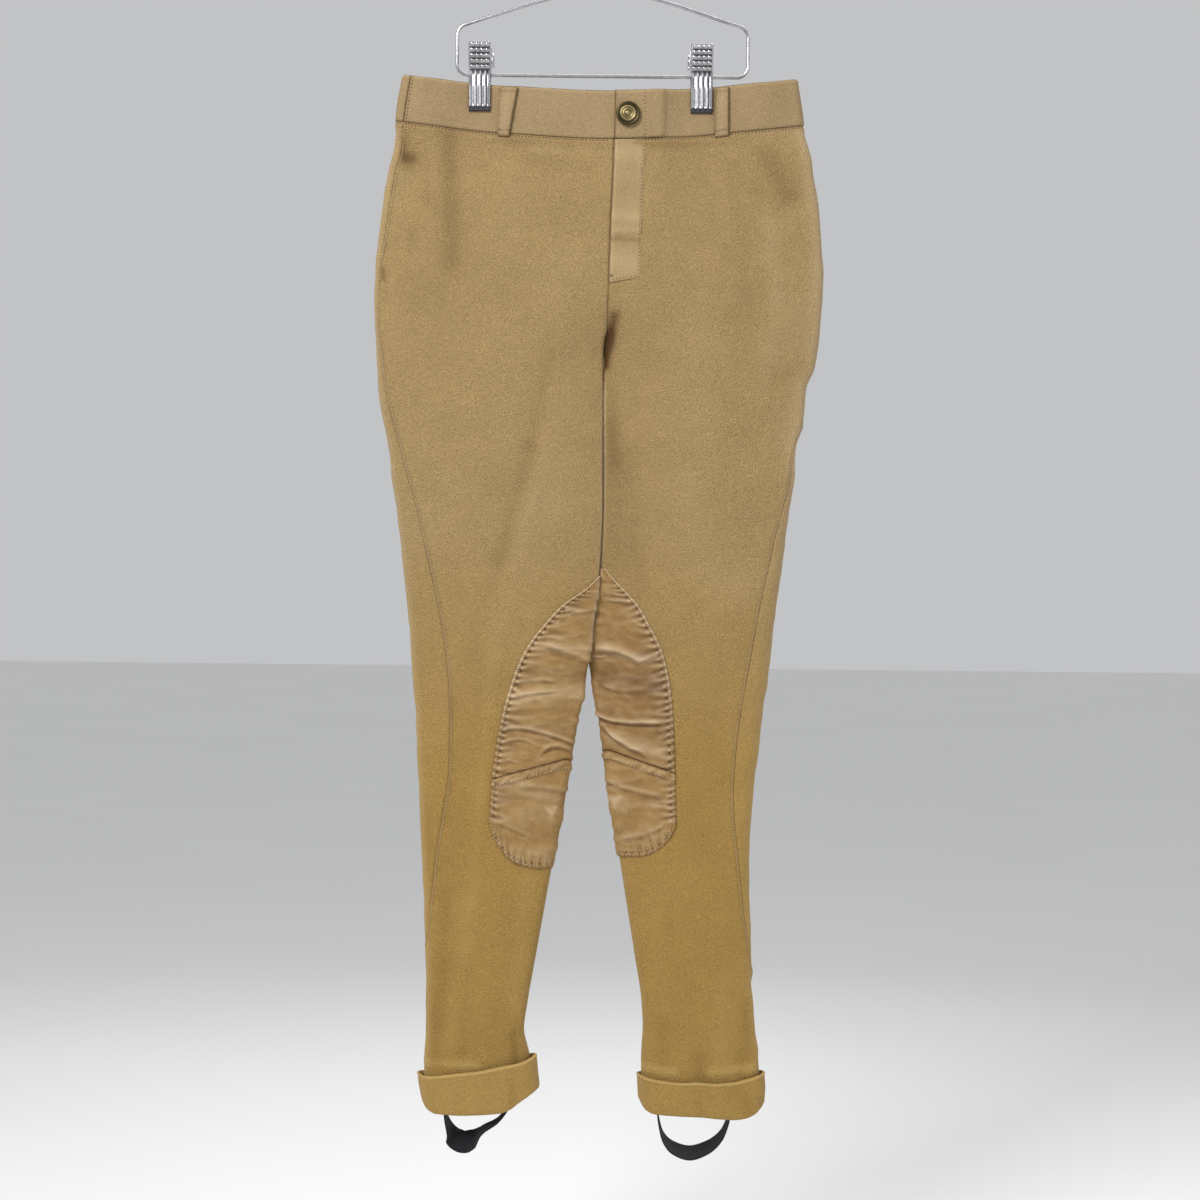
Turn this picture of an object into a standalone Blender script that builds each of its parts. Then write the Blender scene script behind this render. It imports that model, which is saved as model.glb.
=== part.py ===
"""Riding breeches with turn-ups, knee patches and foot straps, hanging flat from a wire clip hanger.

The scene is in metres. +Z is up, the front faces -Y, and +X is the wearer's left. The origin is the
inside top of the hanger's hook, where a rail holds it. Sizes and tables below are in millimetres, and
"drop" is the distance below the hanger's bar. Meshes are scaled to metres where they are made.
"""
import math

import bmesh
import bpy
import numpy as np
from mathutils import Matrix, Vector

NAME = "riding_breeches"
MM = 0.001

# Cloth and gaps
CLOTH = 1.4
PATCH_CLOTH = 1.2
PLACKET_CLOTH = 1.3
BAND_CLOTH = 3.0
BAND_PROUD = 0.8
LOOP_CLOTH = 2.0
CUFF_CLOTH = 1.9
SEAM_GAP = 0.3
PATCH_LIFT = 0.8
NARROW_LIFT = 0.6
PLACKET_LIFT = 0.55
PANEL_COLUMNS = 11
PANEL_TOP = 48.0
TURN_WEIGHT = 40.0

# Waist and crotch
CROTCH_DROP = 248.0
VALLEY_HEIGHT = 66.0
HEM_DROP = 882.0
BAND_TOP_DROP = 0.8
BAND_TOP_DIP = 12.9
SEAM_DROP = 41.5
SEAM_DIP = 14.0
WAIST_HALF = 173.0
DIP_POWER = 1.6
BODY_FULLNESS = 0.8
OVERLAP_END = 52.0
OVERLAP_STEP = 9.0
BAND_LEVEL = 28.0
BAND_END = 0.06
FLY_WIDTH = 26.0
FLY_DROP = 180.0
FLY_SLANT = 5.0

# Hanger
BAR_DROP = 165.0
WIRE = 3.0
BAR_HALF = 125.0
ARM_RISE = 44.0
APEX_RISE = 78.0
CORNER = 10.0
HOOK_RADIUS = 19.5
CLIP_WIDTH = 19.0
CLIP_TOP = -26.4
CLIP_BOTTOM = 31.2
CLIP_PLATE = 1.2
CLIP_CENTRES = {"right": -105.2, "left": 85.2}
PINCHED_HALF = 2.5
PINCH_END = 36.0
# Distance of a clip jaw's inner face from the bar's plane, by drop
JAW_LINE = (
    (CLIP_TOP, 11.5),
    (-14.0, 8.2),
    (-4.0, 4.3),
    (0.0, 3.7),
    (5.0, 4.3),
    (11.0, 4.9),
    (60.0, 4.9),
)
JAW_GRIP = 4.9
PAD_CLOTH = 0.95
PAD_HEIGHT = 7.0
STUD_SHARE = 0.38
STUD_RISE = 0.7
SPRING_WIRE = 0.8

# One row for each section of a leg, millimetres:
# drop, outer fold, inner fold, side seam in from the outer fold (negative: round on the back)
RIGHT_LEG = (
    (-6, -169.6, 10.9, 9.5),
    (41, -177.0, 10.7, 6.5),
    (63, -178.7, 10.5, 6.8),
    (86, -183.6, 9.8, 7.0),
    (130, -190.0, 8.2, 6.5),
    (180, -193.8, 7.2, 3.0),
    (205, -194.4, 6.6, 3.2),
    (237, -192.6, 3.5, 4.4),
    (275, -188.8, 3.0, 6.2),
    (310, -182.4, 3.2, 9.5),
    (344, -178.3, 3.6, 14.5),
    (369, -173.3, 3.8, 17.0),
    (400, -169.9, 3.2, 21.0),
    (425, -166.8, 0.2, 24.0),
    (445, -164.2, -0.8, 26.0),
    (485, -160.0, -4.2, 29.5),
    (521, -157.0, -9.9, 31.0),
    (555, -154.6, -16.2, 29.5),
    (600, -151.5, -23.4, 26.0),
    (629, -150.4, -27.4, 21.0),
    (665, -148.6, -33.8, 13.5),
    (697, -147.1, -39.3, 8.5),
    (754, -143.7, -49.0, -1.0),
    (796, -143.6, -56.0, -6.0),
    (818, -143.8, -58.6, -6.0),
    (842, -144.0, -53.5, -6.0),
    (890, -141.5, -49.0, -6.0),
)
LEFT_LEG = (
    (-6, 166.2, 11.2, -8.5),
    (45, 173.8, 10.9, -7.0),
    (68, 179.7, 10.6, -6.5),
    (86, 180.8, 10.0, -6.5),
    (104, 185.9, 9.3, -6.0),
    (134, 189.4, 8.3, -6.0),
    (167, 191.4, 7.6, -5.0),
    (208, 190.1, 6.8, -4.0),
    (249, 185.7, 3.9, -3.0),
    (267, 178.5, 3.7, -2.0),
    (297, 175.8, 3.8, -0.5),
    (319, 169.8, 3.8, 1.5),
    (351, 167.9, 4.1, 4.0),
    (369, 165.2, 4.3, 6.2),
    (400, 161.2, 4.6, 10.0),
    (425, 158.3, 4.9, 12.2),
    (445, 155.6, 5.0, 14.0),
    (485, 151.0, 1.0, 16.5),
    (521, 147.5, -0.6, 19.0),
    (555, 142.5, 3.6, 19.5),
    (600, 137.6, 10.0, 18.5),
    (631, 134.9, 14.4, 15.5),
    (657, 133.6, 19.2, 11.5),
    (711, 133.7, 28.2, 5.4),
    (752, 136.1, 35.0, 1.5),
    (791, 137.7, 41.4, -3.0),
    (816, 139.8, 43.1, -5.0),
    (842, 142.2, 42.0, -5.0),
    (890, 144.3, 44.0, -5.0),
)
# drop, half the depth at the middle, radius of the folds at the two sides
DEPTHS = (
    (-6, 8.0, 5.0),
    (55, 9.0, 5.0),
    (90, 13.0, 6.0),
    (130, 17.0, 7.0),
    (205, 21.0, 8.0),
    (300, 20.0, 8.0),
    (400, 19.0, 8.5),
    (480, 18.0, 11.0),
    (560, 17.0, 11.0),
    (640, 16.5, 11.0),
    (720, 15.5, 9.0),
    (820, 15.0, 9.0),
    (890, 16.0, 9.0),
)
# Large soft folds: leg, side, first x and drop, last x and drop, width, depth (negative stands proud)
FOLDS = (
    ("right", "front", -164.0, 62.0, -158.0, 84.0, 12.0, 3.2),
    ("right", "front", -130.0, 60.0, -128.0, 185.0, 13.0, 1.6),
    ("right", "front", -70.0, 70.0, -20.0, 66.0, 12.0, 1.4),
    ("left", "front", 130.0, 70.0, 158.0, 112.0, 22.0, 2.8),
    ("left", "front", 45.0, 66.0, 88.0, 68.0, 12.0, 1.4),
    ("right", "front", -42.0, 272.0, -80.0, 412.0, 14.0, 1.2),
    ("left", "front", 24.0, 300.0, 22.0, 410.0, 16.0, 2.6),
    ("right", "back", -60.0, 235.0, -120.0, 300.0, 16.0, 2.2),
    ("left", "back", 60.0, 235.0, 118.0, 296.0, 16.0, 2.2),
    ("right", "back", -105.0, 60.0, -112.0, 170.0, 14.0, 1.6),
    ("left", "back", 88.0, 60.0, 96.0, 165.0, 14.0, 1.6),
    ("right", "front", -90.0, 790.0, -112.0, 826.0, 14.0, -1.6),
    ("left", "front", 96.0, 836.0, 70.0, 830.0, 14.0, 1.8),
)
# Knee patches: drop, x of the sewn edge on the front; the back has the same
PATCH_EDGE_RIGHT = (
    (429.5, 1.0),
    (441, -11.0),
    (455, -30.2),
    (468, -42.3),
    (486, -56.4),
    (505, -66.5),
    (525, -73.4),
    (550, -80.1),
    (585, -86.0),
    (606, -88.3),
    (645, -89.8),
)
PATCH_EDGE_LEFT = (
    (422.5, 7.4),
    (428, 11.6),
    (441, 24.0),
    (455, 36.5),
    (471, 45.5),
    (488, 54.4),
    (509, 60.8),
    (531, 64.5),
    (555, 66.5),
    (582, 68.0),
    (645, 69.7),
)
# leg: cross seam at the edge, its rise to the inner fold, lower end at the edge, lower end at the fold
PATCH_LEVELS = {"right": (603.0, 19.0, 643.0, 680.0), "left": (597.0, 21.0, 641.0, 670.0)}
PATCH_COLUMNS = (0.0, 0.1, 0.2, 0.31, 0.58, 0.86, 1.0)
PUCKER_FIRST_DROP = 448.0
PUCKER_STEP = 4.1
PUCKER_HEIGHT = {0.86: 1.1, 1.0: 0.6}
PUCKER_SHARE = 0.8
# Creases across the patches: leg, drop at the fold, drop at the edge, height, width
PATCH_CREASES = (
    ("right", 500.0, 512.0, 1.2, 5.0),
    ("right", 533.0, 520.0, 1.0, 5.0),
    ("right", 560.0, 548.0, 1.4, 5.0),
    ("right", 622.0, 640.0, 1.2, 5.0),
    ("left", 492.0, 486.0, 1.2, 5.0),
    ("left", 523.0, 536.0, 1.0, 5.0),
    ("left", 553.0, 558.0, 1.8, 5.0),
    ("left", 625.0, 612.0, 1.2, 5.0),
    ("left", 646.0, 634.0, 1.0, 5.0),
)
# Turn-ups: share of the way from the outer to the inner fold, rim drop, bottom drop
CUFF_RIGHT = (
    (0.0, 856.5, 879.0),
    (0.12, 857.0, 885.0),
    (0.3, 855.0, 887.0),
    (0.5, 852.0, 886.5),
    (0.7, 848.5, 886.0),
    (0.82, 845.5, 881.0),
    (0.92, 842.5, 874.0),
    (1.0, 840.0, 868.0),
)
CUFF_LEFT = (
    (0.0, 853.4, 879.0),
    (0.12, 857.0, 886.5),
    (0.3, 861.0, 889.0),
    (0.5, 861.0, 887.5),
    (0.7, 860.5, 886.8),
    (0.88, 858.5, 885.5),
    (1.0, 855.6, 877.0),
)
# leg: outer and inner fold at the rim, outer and inner fold at the bottom
CUFF_SPANS = {"right": (-150.4, -47.7, -146.5, -44.2), "left": (148.6, 38.0, 149.6, 40.0)}
CUFF_HALF_RIM = 21.0
CUFF_HALF_BOTTOM = 20.0
CUFF_FOLD = 12.0
CUFF_COLUMNS = 28
CUFF_LIP_ROWS = 2
# Profile of a turn-up: share of the way down from the rim, step inward
CUFF_PROFILE = ((0.0, 0.0), (0.35, 0.3), (0.72, 0.1), (0.9, 0.5), (1.0, 2.4), (0.985, 4.8))
# Foot straps: x, y, drop, turn of the width from front-to-back towards upright, degrees
STRAP_LEFT_ROUTE = (
    (57.0, 0.0, 862.0, 0.0),
    (56.5, 0.0, 884.0, 0.0),
    (60.0, 6.0, 908.0, 14.0),
    (68.5, 12.0, 922.0, 24.0),
    (85.0, 15.0, 928.5, 28.0),
    (102.0, 12.0, 922.0, 24.0),
    (114.0, 7.0, 908.0, 14.0),
    (119.0, 0.0, 888.0, 0.0),
    (121.0, 0.0, 862.0, 0.0),
)
STRAP_RIGHT_ROUTE = (
    (-66.0, 0.0, 858.0, 0.0),
    (-70.0, 0.0, 882.0, 0.0),
    (-82.0, -1.0, 898.0, 4.0),
    (-97.0, -1.0, 907.5, 30.0),
    (-104.0, 2.0, 915.0, 65.0),
    (-112.0, 6.0, 917.0, 80.0),
    (-121.0, 6.0, 911.0, 60.0),
    (-126.0, 1.0, 892.0, 8.0),
    (-128.0, 0.0, 862.0, 0.0),
)
STRAP_WIDTH = 19.0
STRAP_CLOTH = 1.3
STRAP_STATIONS = 19
STRAP_SEWN_TO = 866.0
STRAP_FREE_FROM = 890.0

# Belt loops: x at the top, x at the bottom, width at the top, width at the bottom
BELT_LOOPS = {
    "belt_loop_right": ("right", -79.2, -83.7, 15.0, 10.0, "front"),
    "belt_loop_left": ("left", 103.3, 103.0, 11.3, 12.6, "front"),
    "belt_loop_back": ("left", 17.0, 17.0, 13.0, 12.0, "back"),
}
LOOP_BOW = 2.4

# Button profile: radius, height above its back
BUTTON_PROFILE = ((0.0, 2.6), (2.4, 2.7), (3.6, 2.0), (5.4, 2.8), (6.6, 2.7), (7.8, 2.0),
                  (9.4, 2.3), (10.3, 1.2), (9.6, 0.0), (0.0, 0.0))
BUTTON_X = 22.3
BUTTON_DROP = 34.1
BUTTON_REST = 9.6

# Materials: colour, roughness, metallic
TAN = ((0.45, 0.29, 0.13), 0.9, 0.0)
PATCH_TAN = ((0.44, 0.27, 0.15), 0.8, 0.0)
BLACK = ((0.02, 0.02, 0.022), 0.7, 0.0)
BRASS = ((0.30, 0.22, 0.10), 0.4, 0.9)
CHROME = ((0.75, 0.75, 0.77), 0.15, 1.0)
RUBBER = ((0.03, 0.03, 0.04), 0.6, 0.0)


def ease(share):
    """A soft step from 0 to 1."""
    share = np.clip(share, 0.0, 1.0)
    return share * share * (3.0 - 2.0 * share)


def smooth_column(rows, column):
    """A smooth curve through one column of a table, with no overshoot between its rows."""
    places = np.array([row[0] for row in rows], float)
    values = np.array([row[column] for row in rows], float)
    steps = np.diff(places)
    slopes = np.diff(values) / steps
    before, after = slopes[:-1], slopes[1:]
    total = np.where(before + after == 0, 1.0, before + after)
    middle = np.where(before * after > 0, 2.0 * before * after / total, 0.0)
    tangents = np.concatenate(([slopes[0]], middle, [slopes[-1]]))

    def read(at):
        at = np.clip(at, places[0], places[-1])
        cell = np.clip(np.searchsorted(places, at) - 1, 0, len(steps) - 1)
        share = (at - places[cell]) / steps[cell]
        square, cube = share ** 2, share ** 3
        return ((2 * cube - 3 * square + 1) * values[cell] + (3 * square - 2 * cube) * values[cell + 1]
                + steps[cell] * ((cube - 2 * square + share) * tangents[cell]
                                 + (cube - square) * tangents[cell + 1]))

    return read


HALF_DEPTH = smooth_column(DEPTHS, 1)
FOLD_RADIUS = smooth_column(DEPTHS, 2)


class Leg:
    """Smooth curves of one leg's outline, and the way its folds and patches lie."""

    def __init__(self, side, rows, patch_edge, cuff_rows):
        self.side = side
        self.outer = smooth_column(rows, 1)
        self.inner = smooth_column(rows, 2)
        self.inset = smooth_column(rows, 3)
        self.patch_edge = smooth_column(patch_edge, 1)
        self.patch_rows = patch_edge
        self.cuff_rim = smooth_column(cuff_rows, 1)
        self.cuff_bottom = smooth_column(cuff_rows, 2)
        self.folds = [fold for fold in FOLDS if fold[0] == side]
        self.forward = -2.0 if side == "right" else 2.0


LEGS = {
    "right": Leg("right", RIGHT_LEG, PATCH_EDGE_RIGHT, CUFF_RIGHT),
    "left": Leg("left", LEFT_LEG, PATCH_EDGE_LEFT, CUFF_LEFT),
}


def fold_depth(leg, x, drop, back):
    """How far the large folds press the cloth in at a point."""
    total = np.zeros_like(x)
    for _, side, x0, drop0, x1, drop1, width, depth in leg.folds:
        run_x, run_drop = x1 - x0, drop1 - drop0
        along = ((x - x0) * run_x + (drop - drop0) * run_drop) / (run_x ** 2 + run_drop ** 2)
        along = np.clip(along, 0.0, 1.0)
        away = np.hypot(x - x0 - along * run_x, drop - drop0 - along * run_drop)
        total += np.where(back == (side == "back"), depth * np.exp(-(away / width) ** 2), 0.0)
    return total


def pinch(x, drop):
    """How firmly the clips press the waist together, from 0 to 1."""
    total = np.zeros_like(x)
    for centre in CLIP_CENTRES.values():
        away = np.maximum(np.abs(x - centre) - CLIP_WIDTH * 0.62, 0.0)
        total = np.maximum(total, np.exp(-(away / 17.0) ** 2))
    return total * (1.0 - ease((drop - PINCH_END) / 95.0))


def ring(leg, drop, angle):
    """Points round a leg at a drop: the inner fold at 0, the outer at pi, the back up to two pi."""
    angle = np.asarray(angle, float)
    outer, inner = leg.outer(drop), leg.inner(drop)
    half, radius = HALF_DEPTH(drop), FOLD_RADIUS(drop)
    across = (1.0 - np.cos(angle)) / 2.0
    x = inner + (outer - inner) * across
    from_inner = np.abs(x - inner)
    from_outer = np.abs(outer - x)
    round_in = np.sqrt(1.0 - (1.0 - np.minimum(from_inner / radius, 1.0)) ** 2)
    round_out = np.sqrt(1.0 - (1.0 - np.minimum(from_outer / radius, 1.0)) ** 2)
    closed = radius * np.minimum(round_in, round_out)
    closed = closed + (half - radius) * np.sin(math.pi * across) ** BODY_FULLNESS
    whole = abs(LEGS["left"].outer(drop) - LEGS["right"].outer(drop))
    swell = np.sin(math.pi * np.clip(from_outer / whole, 0.0, 1.0)) ** BODY_FULLNESS
    opened = radius * round_out + (half - radius) * swell
    joined = 1.0 - ease((drop - (CROTCH_DROP - VALLEY_HEIGHT)) / VALLEY_HEIGHT)
    depth = joined * opened + (1.0 - joined) * closed
    squeezed = np.minimum(depth, PINCHED_HALF)
    depth = depth + (squeezed - depth) * pinch(x, drop)
    back = angle > math.pi
    steady = np.minimum(1.0, from_outer / 15.0) * np.maximum(joined, np.minimum(1.0, from_inner / 15.0))
    depth = depth - fold_depth(leg, x, drop, back) * steady
    middle = leg.forward * ease((drop - CROTCH_DROP + 40.0) / 90.0)
    return np.stack((x, middle + np.where(back, depth, -depth)), axis=-1)


def laid_ring(leg, drop, angle):
    """Points on the straight cloth between a panel's own sections, for a skin that lies on it."""
    rows = panel_rows()
    below = int(np.clip(np.searchsorted(rows, drop), 1, len(rows) - 1))
    share = (drop - rows[below - 1]) / (rows[below] - rows[below - 1])
    return ring(leg, rows[below - 1], angle) * (1.0 - share) + ring(leg, rows[below], angle) * share


def outward(leg, drop, angle, low, high, shape=ring):
    """Unit normals of the ring, pointing out of the leg."""
    step = 0.002
    ahead = shape(leg, drop, np.minimum(angle + step, high))
    behind = shape(leg, drop, np.maximum(angle - step, low))
    along = ahead - behind
    normal = np.stack((along[..., 1], -along[..., 0]), axis=-1)
    if leg.side == "right":
        normal = -normal
    return normal / np.linalg.norm(normal, axis=-1, keepdims=True)


def spread(leg, drop, low, high, count, gap_low, gap_high):
    """Angles from one seam to another: wide apart on the flat cloth, close together round the folds."""
    angles = np.linspace(low, high, 301)
    points = ring(leg, drop, angles)
    steps = np.diff(points, axis=0)
    lengths = np.hypot(steps[:, 0], steps[:, 1])
    headings = np.unwrap(np.arctan2(steps[:, 1], steps[:, 0]))
    turns = np.abs(np.diff(headings, prepend=headings[0]))
    run = np.concatenate(([0.0], np.cumsum(lengths)))
    low, high = np.interp((gap_low, run[-1] - gap_high), run, angles)
    weight = np.concatenate(([0.0], np.cumsum(lengths + TURN_WEIGHT * turns)))
    start, end = np.interp((low, high), angles, weight)
    return np.interp(np.linspace(start, end, count + 1), weight, angles)


def angle_at(leg, drop, x, back=False):
    """The ring angle where a leg has a given x."""
    outer, inner = leg.outer(drop), leg.inner(drop)
    share = np.clip((x - inner) / (outer - inner), 0.0, 1.0)
    angle = np.arccos(1.0 - 2.0 * share)
    return 2.0 * math.pi - angle if back else angle


def seam_angle(leg, drop):
    """The ring angle of the side seam."""
    inset = leg.inset(drop)
    share = min(abs(inset) / abs(leg.outer(drop) - leg.inner(drop)), 1.0)
    offset = math.acos(1.0 - 2.0 * share)
    return math.pi - math.copysign(offset, inset)


def dip(x):
    """The share of the waist's dip at an x: 1 at the middle and 0 at the sides."""
    return 1.0 - np.minimum(np.abs(x) / WAIST_HALF, 1.0) ** DIP_POWER


def band_top(x):
    return BAND_TOP_DROP + BAND_TOP_DIP * dip(x)


def waist_seam(x):
    return SEAM_DROP + SEAM_DIP * dip(x)


def on_line(leg, angle, line):
    """The drop at which a ring angle crosses a line given as a drop for each x."""
    drop = 45.0
    for _ in range(4):
        drop = float(line(ring(leg, drop, angle)[0]))
    return drop


def hem_line(leg, angle):
    """The drop of the leg's hem, which stands on the lip of the turn-up."""
    share = (1.0 + math.cos(angle)) / 2.0
    return float(leg.cuff_bottom(share)) - CUFF_CLOTH - 1.5


def to_scene(x, y, drop):
    return Vector((x * MM, y * MM, -(BAR_DROP + drop) * MM))


def link(obj, finish, smooth=True):
    """Put an object in the garment's collection with a material of its own."""
    colour, roughness, metallic = finish
    material = bpy.data.materials.new(obj.name)
    material.use_nodes = True
    shader = material.node_tree.nodes["Principled BSDF"]
    shader.inputs["Base Color"].default_value = (*colour, 1.0)
    shader.inputs["Roughness"].default_value = roughness
    shader.inputs["Metallic"].default_value = metallic
    obj.data.materials.append(material)
    if smooth and obj.type == "MESH":
        obj.data.shade_smooth()
        obj.data.set_sharp_from_angle(angle=math.radians(50))
    bpy.data.collections[NAME].objects.link(obj)
    return obj


def add_points(mesh_data, grid, coarse):
    """Mesh points for a grid; a coarse column has a point in every other row only."""
    made = []
    for r, row in enumerate(grid):
        skipped = r % 2 == 1 and r < len(grid) - 1
        made.append([made[-1][c] if skipped and c in coarse else mesh_data.verts.new(point)
                     for c, point in enumerate(row)])
    return made


def wall(name, outer, inner, finish, closed=False, coarse=()):
    """A wall of cloth between two grids of points that have the same rows and columns."""
    rows, columns = len(outer), len(outer[0])
    mesh_data = bmesh.new()
    skins = [add_points(mesh_data, grid, coarse) for grid in (outer, inner)]
    last = columns if closed else columns - 1
    for grid, flip in zip(skins, (False, True)):
        for r in range(rows - 1):
            for c in range(last):
                d = (c + 1) % columns
                corners = list(dict.fromkeys((grid[r][c], grid[r][d], grid[r + 1][d], grid[r + 1][c])))
                if len(corners) > 2:
                    mesh_data.faces.new(corners[::-1] if flip else corners)
    front, rear = skins
    for r in (0, rows - 1):
        for c in range(last):
            d = (c + 1) % columns
            mesh_data.faces.new((front[r][c], rear[r][c], rear[r][d], front[r][d]))
    if not closed:
        for c in (0, columns - 1):
            for r in range(rows - 1):
                mesh_data.faces.new((front[r][c], front[r + 1][c], rear[r + 1][c], rear[r][c]))
    bmesh.ops.recalc_face_normals(mesh_data, faces=mesh_data.faces)
    mesh = bpy.data.meshes.new(name)
    mesh_data.to_mesh(mesh)
    mesh_data.free()
    return link(bpy.data.objects.new(name, mesh), finish)


def skin_point(leg, drop, angle, lift, low=0.0, high=2.0 * math.pi, shape=ring):
    """A scene point on a leg at a drop and angle, moved out by a lift."""
    x, y = shape(leg, drop, angle) + outward(leg, drop, angle, low, high, shape) * lift
    return to_scene(float(x), float(y), float(drop))


def panel_rows():
    """Drops of a panel's sections, closer together about the crotch."""
    waist = np.linspace(PANEL_TOP, CROTCH_DROP - VALLEY_HEIGHT, 6)[:-1]
    seat = np.linspace(CROTCH_DROP - VALLEY_HEIGHT, CROTCH_DROP, 5)[:-1]
    hip = np.linspace(CROTCH_DROP, 300.0, 5)[:-1]
    leg = np.linspace(300.0, HEM_DROP, 21)
    return np.concatenate((waist, seat, hip, leg))


def make_panel(name, leg, back, columns):
    """A front or back panel, from the waist seam to the hem and from the inner to the side seam."""
    outer_grid, inner_grid = [], []
    for base in panel_rows():
        seam = seam_angle(leg, base)
        low, high = (seam, 2.0 * math.pi) if back else (0.0, seam)
        fold_gap = SEAM_GAP / 2.0 if base >= CROTCH_DROP - 0.01 else 0.0
        gaps = (SEAM_GAP / 2.0, fold_gap) if back else (fold_gap, SEAM_GAP / 2.0)
        angles = spread(leg, base, low, high, columns, *gaps)
        to_waist = 1.0 - ease((base - PANEL_TOP) / 70.0)
        to_hem = ease((base - (HEM_DROP - 70.0)) / 70.0)
        outer_row, inner_row = [], []
        for angle in angles:
            drop = base + to_waist * (on_line(leg, angle, waist_seam) - PANEL_TOP)
            drop += to_hem * (hem_line(leg, angle) - HEM_DROP)
            outer_row.append(skin_point(leg, drop, angle, 0.0, angles[0], angles[-1]))
            inner_row.append(skin_point(leg, drop, angle, -CLOTH, angles[0], angles[-1]))
        outer_grid.append(outer_row)
        inner_grid.append(inner_row)
    return wall(name, outer_grid, inner_grid, TAN)


def overlap_lift(x):
    """How far the band's upper end is lifted by the end that lies under it."""
    return (BAND_CLOTH + SEAM_GAP) * (1.0 - ease((x - OVERLAP_END) / OVERLAP_STEP))


def make_band(name, stations, lift_over=False):
    """A waistband piece through stations of leg and angle."""
    outer_grid, inner_grid = [], []
    for share in (0.0, 0.1, 0.9, 1.0):
        rim = 0.5 if share in (0.0, 1.0) else 0.0
        outer_row, inner_row = [], []
        for leg, angle in stations:
            top = on_line(leg, angle, band_top)
            bottom = on_line(leg, angle, waist_seam) - SEAM_GAP
            drop = top + (bottom - top) * share
            x = float(ring(leg, drop, angle)[0])
            lift = overlap_lift(x) if lift_over else 0.0
            outer_row.append(skin_point(leg, drop, angle, BAND_PROUD - rim + lift))
            inner_row.append(skin_point(leg, drop, angle, BAND_PROUD - BAND_CLOTH + rim + lift))
        outer_grid.append(outer_row)
        inner_grid.append(inner_row)
    return wall(name, outer_grid, inner_grid, TAN)


def with_clip_edges(leg, drop, angles, back, extra=()):
    """Angles with stations added where the clips press, and at other places given by x."""
    centre = CLIP_CENTRES[leg.side]
    places = [centre + reach for reach in (-21.0, -11.5, 11.5, 21.0)] + list(extra)
    added = [float(angle_at(leg, drop, x, back)) for x in places]
    low, high = min(angles), max(angles)
    added = [a for a in added if low + 0.02 < a < high - 0.02]
    kept = [a for a in angles if a in (low, high) or min(abs(a - b) for b in added) > BAND_END]
    return sorted(kept + added)


def make_waistband():
    """The band in three pieces, with the left end lying over the right."""
    right, left = LEGS["right"], LEGS["left"]
    right_seam = seam_angle(right, BAND_LEVEL)
    left_seam = seam_angle(left, BAND_LEVEL)
    back_end = 2.0 * math.pi - BAND_END
    gap = 0.6 * SEAM_GAP
    front_right = spread(right, BAND_LEVEL, BAND_END, right_seam, 8, 0.0, gap)
    front_right = with_clip_edges(right, BAND_LEVEL, front_right, False)[::-1]
    under_end = angle_at(left, BAND_LEVEL, OVERLAP_END - 2.0)
    under = np.linspace(2.0 * BAND_END, under_end, 4)
    make_band("waistband_front_right", [(right, a) for a in front_right] + [(left, a) for a in under])
    front_left = spread(left, BAND_LEVEL, BAND_END / 2.0, left_seam, 13, 0.0, gap)
    front_left = with_clip_edges(left, BAND_LEVEL, front_left, False,
                                 (OVERLAP_END, OVERLAP_END + OVERLAP_STEP))
    make_band("waistband_front_left", [(left, a) for a in front_left], lift_over=True)
    back_left = spread(left, BAND_LEVEL, left_seam, back_end, 8, gap, 0.0)
    back_left = with_clip_edges(left, BAND_LEVEL, back_left, True)
    back_right = spread(right, BAND_LEVEL, right_seam, back_end, 12, gap, 0.0)
    back_right = with_clip_edges(right, BAND_LEVEL, back_right, True)[::-1]
    make_band("waistband_back", [(left, a) for a in back_left] + [(right, a) for a in back_right])


def make_placket():
    """The stitched strip beside the front opening, with its slanted lower end."""
    leg = LEGS["left"]
    outer_grid, inner_grid = [], []
    for share in np.linspace(0.0, 1.0, 8):
        outer_row, inner_row = [], []
        for part in np.linspace(0.0, 1.0, 4):
            x_guess = 9.0 + FLY_WIDTH * part
            top = float(waist_seam(x_guess)) + 1.0
            drop = top + (FLY_DROP - FLY_SLANT * part - top) * share
            inner = float(leg.inner(drop))
            angle = angle_at(leg, drop, inner + 0.3 + FLY_WIDTH * part)
            outer_row.append(skin_point(leg, drop, angle, PLACKET_LIFT + PLACKET_CLOTH))
            inner_row.append(skin_point(leg, drop, angle, PLACKET_LIFT))
        outer_grid.append(outer_row)
        inner_grid.append(inner_row)
    wall("fly_placket", outer_grid, inner_grid, TAN)


def make_belt_loops():
    """Belt loops that bow out a little between their sewn ends."""
    for name, (side, top_x, bottom_x, top_width, bottom_width, face) in BELT_LOOPS.items():
        leg, back = LEGS[side], face == "back"
        outer_grid, inner_grid = [], []
        for share in np.linspace(0.0, 1.0, 8):
            middle = top_x + (bottom_x - top_x) * share
            width = top_width + (bottom_width - top_width) * share
            outer_row, inner_row = [], []
            for part in (-0.5, -0.42, 0.42, 0.5):
                x = middle + width * part
                top, bottom = float(band_top(x)) + 1.5, float(waist_seam(x)) + 2.2
                drop = top + (bottom - top) * share
                angle = angle_at(leg, drop, x, back)
                lift = BAND_PROUD + SEAM_GAP + 0.15 + LOOP_BOW * math.sin(math.pi * share) ** 0.6
                edge = 0.5 if abs(part) == 0.5 else 0.0
                outer_row.append(skin_point(leg, drop, angle, lift + LOOP_CLOTH - edge))
                inner_row.append(skin_point(leg, drop, angle, lift + edge))
            outer_grid.append(outer_row)
            inner_grid.append(inner_row)
        wall(name, outer_grid, inner_grid, TAN)


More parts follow.
